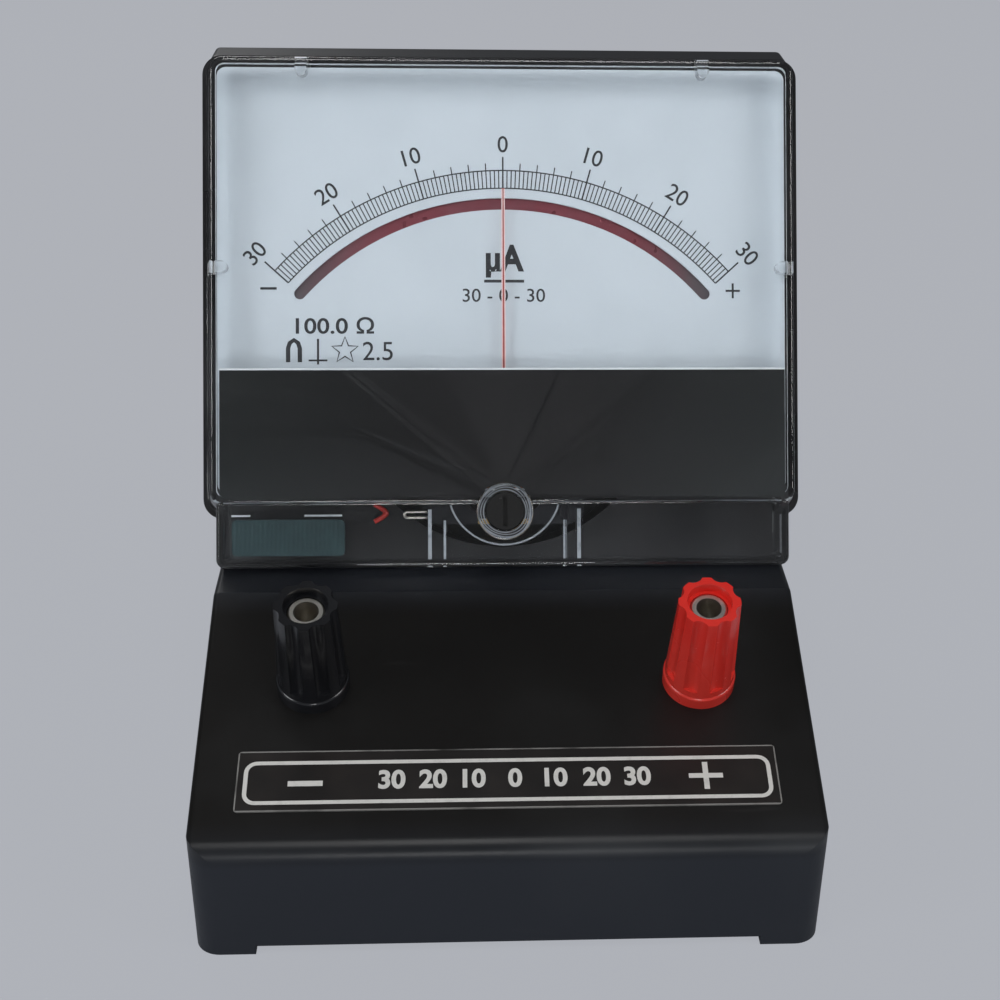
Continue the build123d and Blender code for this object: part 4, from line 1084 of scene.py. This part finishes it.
@dataclass
class ChinWiring:
    """The bits of wire that show behind the chin, beside the resistor card."""

    red_bend: Point3 = (-20.3, -2.4, -9.3)
    red_depth: float = 2.1
    red_reach: float = 1.5
    red_sharpness: float = 1.4
    red_radius: float = 0.42
    pin_n: float = -9.0
    pin_middle: Point2 = (-16.7, -2.7)
    pin_half_gap: float = 0.5
    pin_run: Point2 = (-13.2, -16.4)
    pin_radius: float = 0.28

    def build(self) -> None:
        """Adds the red wire, bent as |t| to a power, and the hairpin, a half circle between two runs."""
        t = np.linspace(-1, 1, 24)
        u, v, n = self.red_bend
        red = np.column_stack([u - self.red_depth * np.abs(t) ** self.red_sharpness, v - self.red_reach * t,
                               np.full_like(t, n)])
        dress(tube("chin_red_wire", red, self.red_radius, FACE), Finish.LEAD_RED, "stand")
        a = np.linspace(math.pi / 2, 3 * math.pi / 2, 12)
        u, v = self.pin_middle
        bend = np.column_stack([u + self.pin_half_gap * np.cos(a), v + self.pin_half_gap * np.sin(a)])
        run = np.linspace(*self.pin_run, 6)
        upper = np.column_stack([run, np.full_like(run, v + self.pin_half_gap)])
        lower = np.column_stack([run[::-1], np.full_like(run, v - self.pin_half_gap)])
        pin = np.vstack([upper, bend, lower])
        pin = np.column_stack([pin, np.full(len(pin), self.pin_n)])
        dress(tube("chin_hairpin", pin, self.pin_radius, FACE), Finish.NICKEL, "stand")


@dataclass
class ChinEdges:
    """Painted highlights inside the clear chin: bright strips on the ribs, the arc, boss strokes and dashes,
    where edges catch the light.
    """

    thick: float = 0.06
    rib_n: float = -5.95
    outer_rib: Bar = Bar((12.75, -1.7), (12.75, -10.2), 0.62)
    inner_rib: Bar = Bar((10.2, -3.6), (10.2, -10.2), 0.42)
    arc_n: float = -4.45
    arc_v: float = 1.9
    arc_radius: float = 9.65
    arc_angles: Point2 = (197.0, 343.0)
    arc_width: float = 0.3
    ring_n: float = -2.82
    boss_v: float = -2.0
    strokes: tuple[Point3, ...] = ((3.62, 0.20, 0.03), (4.02, 0.16, 0.10), (4.45, 0.30, 0.12))
    dash_n: float = -6.9
    dash_left: Bar = Bar((-46.6, -2.7), (-43.4, -2.7), 0.32)
    dash_right: Bar = Bar((-34.2, -2.7), (-27.8, -2.7), 0.32)

    def flat(self, n: float) -> Solids:
        """Starts a mesh of edges whose backs are at n."""
        return Solids(n, n + self.thick)

    def light(self, solids: Solids, name: str, finish: Finish = Finish.FROST) -> None:
        """Builds and dresses one piece."""
        dress(solids.build(name, FACE), finish, "stand")

    def ribs(self) -> None:
        """Adds painted highlights along the back edges of the four upright ribs."""
        solids = self.flat(self.rib_n)
        solids.bars(self.outer_rib.mirrored(), self.inner_rib.mirrored(), self.outer_rib, self.inner_rib)
        self.light(solids, "chin_rib_edges")

    def arc(self) -> None:
        """Adds a painted highlight on the arc between the ribs: a circle's lower part about a point over the
        boss.
        """
        a = np.radians(np.linspace(*self.arc_angles, 60))
        solids = self.flat(self.arc_n)
        line = np.column_stack([self.arc_radius * np.cos(a), self.arc_v + self.arc_radius * np.sin(a)])
        solids.band(line, self.arc_width, False)
        self.light(solids, "chin_arc_edge")

    def rings(self) -> None:
        """Adds uneven painted highlight strokes round the adjuster: circles whose radius swells with the sine
        of 3 a.
        """
        solids = self.flat(self.ring_n)
        a = np.linspace(0, 2 * math.pi, 96, endpoint=False)
        for radius, width, swell in self.strokes:
            r = radius + swell * np.sin(3 * a + radius)
            solids.band(np.column_stack([r * np.cos(a), self.boss_v + r * np.sin(a)]), width, True)
        self.light(solids, "boss_strokes")

    def dashes(self) -> None:
        """Adds the bright dashes over the card, painted highlights."""
        solids = self.flat(self.dash_n)
        solids.bars(self.dash_left, self.dash_right)
        self.light(solids, "chin_dashes", Finish.BRIGHT)

    def build(self) -> None:
        """Adds the edges."""
        self.ribs()
        self.arc()
        self.rings()
        self.dashes()


@dataclass
class CoverLight:
    """A painted light band: the pale band that shows through the front half of the clear cover's flared wall.
    """

    inner_half: float = 48.1
    inner_top: float = 73.4
    low: float = 0.5
    corner: float = 1.6
    spread: float = 0.191
    front: float = -2.0
    back: float = -5.3
    gap: float = 0.08
    thick: float = 0.05

    def build(self) -> None:
        """Adds the band: four rounded outlines that widen evenly with depth, joined into a closed ribbon."""
        rings = []
        front, back, thick = self.front, self.back, self.thick
        for n, inset in ((front, 0.0), (back, 0.0), (back, thick), (front, thick)):
            grow = -n * self.spread - self.gap - inset
            line = rounded_line(self.inner_half + grow, self.low, self.inner_top + grow, self.corner)
            rings.append(np.column_stack([line, np.full(len(line), n)]))
        faces = grid_faces(4, len(rings[0]), True, True)
        made = mesh_object("cover_light_band", FACE.place(np.vstack(rings)), faces)
        dress(outward(made), Finish.BRIGHT, "stand")


@dataclass(frozen=True)
class Lamp:
    """A soft square lamp: its place and side in metres, its power in watts and its tint."""

    name: str
    place: Point3
    side: float
    watts: float
    tint: Colour = (1.0, 1.0, 1.0)

    def build(self, aim: Point3) -> None:
        """Adds the lamp, turned towards a point.

        Args:
            aim: the point, in metres.
        """
        data = bpy.data.lights.new(self.name, "AREA")
        data.shape = "SQUARE"
        data.size = self.side
        data.energy = self.watts
        data.color = self.tint
        made = bpy.data.objects.new(self.name, data)
        made.location = self.place
        made.rotation_mode = "QUATERNION"
        made.rotation_quaternion = (Vector(aim) - Vector(self.place)).to_track_quat("-Z", "Y")
        bpy.context.scene.collection.objects.link(made)


@dataclass(frozen=True)
class PhotoCamera:
    """The photograph's camera, as fitted: pixels of its frame, degrees, and millimetres on the object."""

    frame_side: float = 1000.0
    focal: float = 1752.64
    middle: Point2 = (560.0, 450.0)
    rise: float = 27.208
    turn: float = -1.305
    roll: float = 0.272
    target: Point3 = (-0.497, 9.133, 44.505)
    distance: float = 315.66
    sensor: float = 36.0
    clip: Point2 = (0.01, 20.0)

    @staticmethod
    def swung(first: np.ndarray, second: np.ndarray, angle: float) -> tuple[np.ndarray, np.ndarray]:
        """Turns two square directions in their plane: first cos - second sin, second cos + first sin."""
        c, s = math.cos(angle), math.sin(angle)
        return first * c - second * s, second * c + first * s

    def build(self) -> None:
        """Adds the camera: it looks at the target, and a shift and a swing set the lens's middle."""
        rise, turn = math.radians(self.rise), math.radians(self.turn)
        back = np.array([math.sin(turn) * math.cos(rise), -math.cos(turn) * math.cos(rise), math.sin(rise)])
        forward = -back
        right = np.cross(forward, [0.0, 0.0, 1.0])
        right /= np.linalg.norm(right)
        up = np.cross(right, forward)
        half = self.frame_side / 2
        shift_x, shift_y = half - self.middle[0], self.middle[1] - half
        forward, right = self.swung(forward, right, math.atan(shift_x / self.focal))
        forward, up = self.swung(forward, up, math.atan(shift_y / self.focal))
        right, up = self.swung(right, up, -math.radians(self.roll))
        data = bpy.data.cameras.new("camera")
        data.sensor_width = self.sensor
        data.lens = self.focal / self.frame_side * self.sensor
        data.shift_x, data.shift_y = shift_x / self.frame_side, shift_y / self.frame_side
        data.clip_start, data.clip_end = self.clip
        made = bpy.data.objects.new("camera", data)
        turned = Matrix(np.column_stack([right, up, -forward]).tolist()).to_4x4()
        place = (np.array(self.target) + back * self.distance) * MM
        made.matrix_world = Matrix.Translation(Vector(place)) @ turned
        bpy.context.scene.collection.objects.link(made)
        bpy.context.scene.camera = made


@dataclass
class Studio:
    """The floor, the room, the lamps and the camera."""

    floor_colour: Colour = (0.448, 0.464, 0.503)
    floor_half: float = 6.0
    floor_top: float = -0.00005
    own_share: float = 0.90
    room_tint: Colour = (0.93, 0.96, 1.0)
    ambient: float = 0.11
    aim: Point3 = (0.0, 0.0, 0.05)
    lamps: tuple[Lamp, ...] = (
        Lamp("overhead", (0.0, -0.30, 0.86), 0.30, 1.75),
        Lamp("front", (0.0, -0.85, 0.10), 0.16, 0.85),
        Lamp("left", (-0.70, -0.40, 0.42), 0.36, 2.0, (0.96, 0.98, 1.0)),
        Lamp("right", (0.72, -0.36, 0.46), 0.34, 1.8),
        Lamp("behind", (-0.25, 0.60, 0.55), 0.40, 1.2),
    )

    def floor(self) -> None:
        """A wide pale floor that shows mostly its own colour to the camera and keeps a soft shadow."""
        corners = np.array([(-1, -1, 0), (1, -1, 0), (1, 1, 0), (-1, 1, 0)]) * self.floor_half
        made = mesh_object("floor", corners + np.array([0.0, 0.0, self.floor_top]), [(0, 1, 2, 3)])
        s = Shader("floor_paint")
        colour = (*self.floor_colour, 1.0)
        lit = s.node("ShaderNodeBsdfDiffuse", values={"Color": colour})
        plain = s.node("ShaderNodeEmission", values={"Color": colour, "Strength": 1.0})
        seen = s.node("ShaderNodeLightPath", output="Is Camera Ray")
        mixed = s.node("ShaderNodeMixShader", values={0: seen * self.own_share, 1: lit, 2: plain})
        made.data.materials.append(s.close(mixed))

    def room(self) -> None:
        """An even, slightly cool light from all round."""
        world = bpy.data.worlds.new("room")
        world.use_nodes = True
        back = world.node_tree.nodes["Background"]
        back.inputs["Color"].default_value = (*self.room_tint, 1.0)
        back.inputs["Strength"].default_value = self.ambient
        bpy.context.scene.world = world

    def build(self) -> None:
        """Sets up the studio."""
        self.floor()
        self.room()
        for lamp in self.lamps:
            lamp.build(self.aim)
        PhotoCamera().build()
        bpy.context.scene.view_settings.view_transform = "Standard"


def main() -> None:
    """Builds the studio and dresses the instrument."""
    logging.basicConfig(level=logging.INFO, format="%(message)s")
    Studio().build()
    FrameFinishes().build()
    DialPrint().build()
    Nameplate().build()
    Pointer().build()
    ChinWiring().build()
    ChinEdges().build()
    CoverLight().build()


if __name__ == "__main__":
    main()
